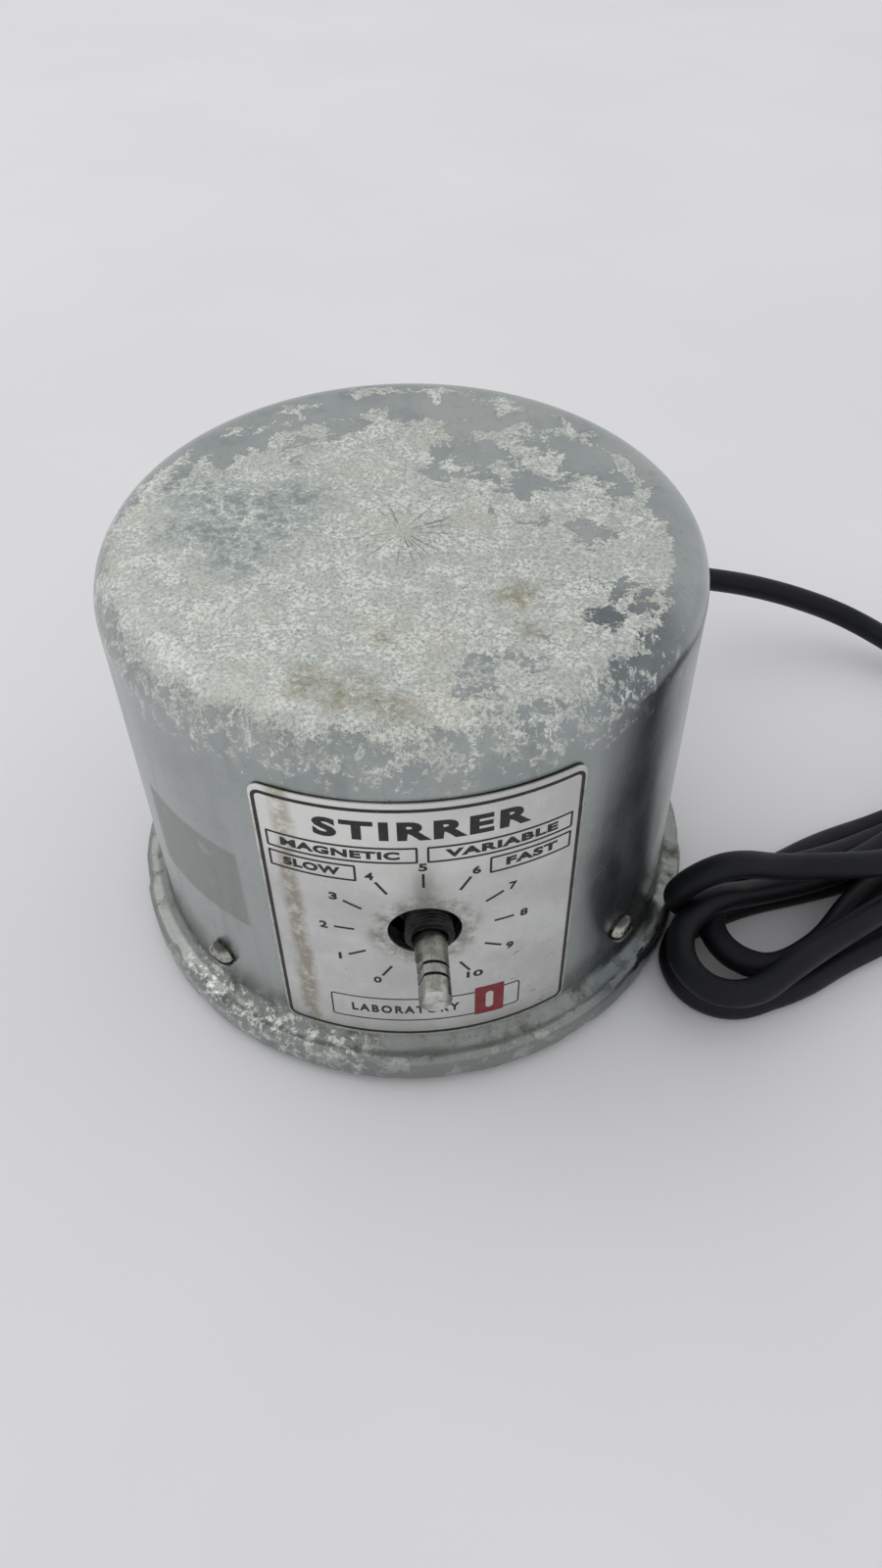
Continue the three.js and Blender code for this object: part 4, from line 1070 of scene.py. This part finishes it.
def dial_marks():
    """Eleven ticks, 30 degrees apart, with their numbers."""
    marks = []
    for k in range(11):
        a = math.radians(DIAL_STEP * k + DIAL_START)
        corners = [(-TICK_HALF, TICK_IN), (TICK_HALF, TICK_IN), (TICK_HALF, TICK_OUT), (-TICK_HALF, TICK_OUT)]
        tick = flat_body(flat_curve([corners], PRINT_HALF))
        turn = Matrix.Translation((0, HOLE_Z, 0)) @ Matrix.Rotation(-a, 4, "Z")
        marks.append(moved(tick, turn))
        half = {1: 0.3, 10: 1.7}.get(k, 0.8)
        x, y = NUMBER_ACROSS * math.sin(a), HOLE_Z + NUMBER_UP * math.cos(a)
        marks.append(lettering(str(k), x - half, x + half, y - NUMBER_HALF, y + NUMBER_HALF, weight=0.03))
    return marks


def make_print():
    """Generic lettering and lines where the plate carries its own."""
    black = [frame_line(-30.2, 30.2, 13.5, 85, 2, 0.75),
             lettering("STIRRER", -19, 19.6, 77, 81.9, weight=0.045, spacing=1.2),
             frame_line(-28.4, -0.8, 70.8, 75.1, *BOX_STYLE),
             frame_line(0.8, 28.3, 70.8, 75.1, *BOX_STYLE),
             lettering("MAGNETIC", -25.6, -4, 71.9, 74, **SMALL_TYPE),
             lettering("VARIABLE", 4, 25.2, 71.9, 74, **SMALL_TYPE),
             frame_line(-28.4, -12, 65.3, 69.8, *BOX_STYLE),
             frame_line(12.1, 28.3, 65.3, 69.8, *BOX_STYLE),
             lettering("SLOW", -25.6, -14.9, 66.5, 68.7, **SMALL_TYPE),
             lettering("FAST", 15.2, 25.4, 66.5, 68.7, **SMALL_TYPE),
             frame_line(-19.9, 19.5, 18.6, 26.9, 0.8, 0.3),
             lettering("LABORATORY", -15.6, 6.6, 21.4, 24.2, weight=0.035, spacing=1.35),
             *dial_marks()]
    red = flat_body(flat_curve([rounded_box(9.8, 16, 18.1, 28.2, 0.3)], PRINT_HALF + 0.02))
    pale = flat_body(flat_curve([rounded_box(12.1, 13.7, 20.2, 26.1, 0.79)], PRINT_HALF + 0.05))
    for name, bodies, look in (("plate_lines", black, ink("black_ink", (0.012, 0.012, 0.013))),
                               ("plate_block", [red], ink("red_ink", light(122, 30, 38))),
                               ("plate_capsule", [pale], ink("pale_ink", light(190, 188, 182)))):
        whole = joined(*[wrapped(body, PLATE_FACE + 0.01) for body in bodies])
        piece(name, whole, "nameplate", look, place=DRUM, crease=50)


# ---- Control -----------------------------------------------------------------------------
CONTROL = outward(0, CONTROL_Z, CONTROL_X)
FLAT_LONG, FLAT_DEEP, FLAT_TURN = 9.6, 0.8, math.radians(17)


def make_bushing():
    """The threaded bush that the shaft turns in, with its flange behind the bracket."""
    pitch, depth, count = 0.794, 0.42, 72
    start, end = 49.8, BUSHING_END

    def ring(radius, z):
        return [(radius * c, radius * s, z) for c, s in circle(count)]

    def threaded(z):
        points = []
        for k, (c, s) in enumerate(circle(count)):
            wave = abs((z / pitch - k / count) % 1 * 2 - 1)
            cut = depth * min(max(1.25 * wave - 0.1, 0), 1) + 0.5 * max(z - end + 0.6, 0)
            points.append(((BUSHING_R - cut) * c, (BUSHING_R - cut) * s, z))
        return points

    rings = [ring(3.255, 48.3), ring(8.7, 48.3), ring(9, 48.6), ring(9, start)]
    rings += [threaded(z) for z in np.arange(start, end + 0.01, pitch / 8)]
    rings += [ring(3.6, end), ring(3.255, end - 0.35)]
    return piece("threaded_bush", from_rings(rings, closed_loop=True), "black_steel", crease=60,
                 place=CONTROL, replaces=["control_bushing"])


def make_shaft():
    """The control shaft: two turned grooves, a chamfered tip and a flat for the missing knob."""
    profile = [(0, SHAFT_BACK), (SHAFT_R - 0.3, SHAFT_BACK), (SHAFT_R, SHAFT_BACK + 0.3)]
    for back in GROOVES:
        z = SHAFT_TIP - back
        profile += [(SHAFT_R, z - 0.35), (SHAFT_R - 0.12, z - 0.28), (SHAFT_R - 0.4, z - 0.24),
                    (SHAFT_R - 0.4, z + 0.24), (SHAFT_R - 0.12, z + 0.28), (SHAFT_R, z + 0.35)]
    profile += [(SHAFT_R, SHAFT_TIP - 0.6), (SHAFT_R - 0.55, SHAFT_TIP - 0.04), (0, SHAFT_TIP)]
    cut = block((-10, -10, SHAFT_TIP - FLAT_LONG), (FLAT_DEEP - SHAFT_R, 10, SHAFT_TIP + 1))
    cut = moved(cut, Matrix.Rotation(-FLAT_TURN, 4, "Z"))
    return piece("dial_shaft", carved(turned(profile, 96), cut), "shaft_nickel", on=SPINDLE, place=CONTROL,
                 bevel=0.08, replaces=["control_shaft"])


def make_relief():
    """The rubber grommet that holds the cord in the wall, with ribs that let it bend."""
    bore = 3.35
    profile = [(bore, RELIEF_IN + 0.3), (5.6, RELIEF_IN + 0.3), (5.8, RELIEF_IN + 0.6), (5.8, 53), (7, 53.2),
               (7, 56.7), (5.8, 56.9), (5.8, 61.3), (6.9, 61.4), (7.2, 61.8), (7.2, 62.8), (6.9, 63.3),
               (5.5, 64.2)]
    for k in range(6):
        z = 65 + 1.75 * k
        wide = 5.35 - 0.13 * k
        profile += [(wide, z), (wide, z + 0.8), (wide - 0.55, z + 1.05), (wide - 0.55, z + 1.5)]
    profile += [(4.5, RELIEF_OUT - 0.6), (4.3, RELIEF_OUT - 0.15), (4, RELIEF_OUT), (bore, RELIEF_OUT)]
    return piece("cord_grommet", turned(profile, 72), "cord_rubber", crease=45,
                 place=outward(CORD_AZIMUTH, CORD_Z), replaces=["strain_relief"])


make_drum()
make_plate()
make_print()
for number, azimuth in enumerate(SCREW_AZIMUTHS, 1):
    make_side_screw(number, azimuth)
for number in range(1, 5):
    make_foot(number)
make_bushing()
make_shaft()
make_relief()


# ---- Floor and light, in metres ----------------------------------------------------------
FLOOR_HALF = 3
ROOM_COLOR, ROOM_STRENGTH = (0.975, 0.985, 1, 1), 0.72
LAMP_PLACE, LAMP_WIDE, LAMP_HIGH, LAMP_WATTS = (-0.9, 0.7, 1.5), 1.6, 1.2, 5


def make_floor():
    mesh = bpy.data.meshes.new("floor")
    half = FLOOR_HALF
    mesh.from_pydata([(-half, -half, 0), (half, -half, 0), (half, half, 0), (-half, half, 0)], [],
                     [(0, 1, 2, 3)])
    mesh.materials.append(floor_paper())
    added("floor", mesh)


def make_lights():
    world = bpy.data.worlds.new("soft_room")
    bpy.context.scene.world = world
    world.use_nodes = True
    back = world.node_tree.nodes["Background"]
    back.inputs["Color"].default_value = ROOM_COLOR
    back.inputs["Strength"].default_value = ROOM_STRENGTH
    data = bpy.data.lights.new("window", "AREA")
    data.shape, data.size, data.size_y, data.energy = "RECTANGLE", LAMP_WIDE, LAMP_HIGH, LAMP_WATTS
    lamp = added("window", data)
    lamp.location = LAMP_PLACE
    lamp.rotation_euler = (-lamp.location).to_track_quat("-Z", "Y").to_euler()


make_floor()
make_lights()
bpy.context.scene.view_settings.view_transform = "Standard"
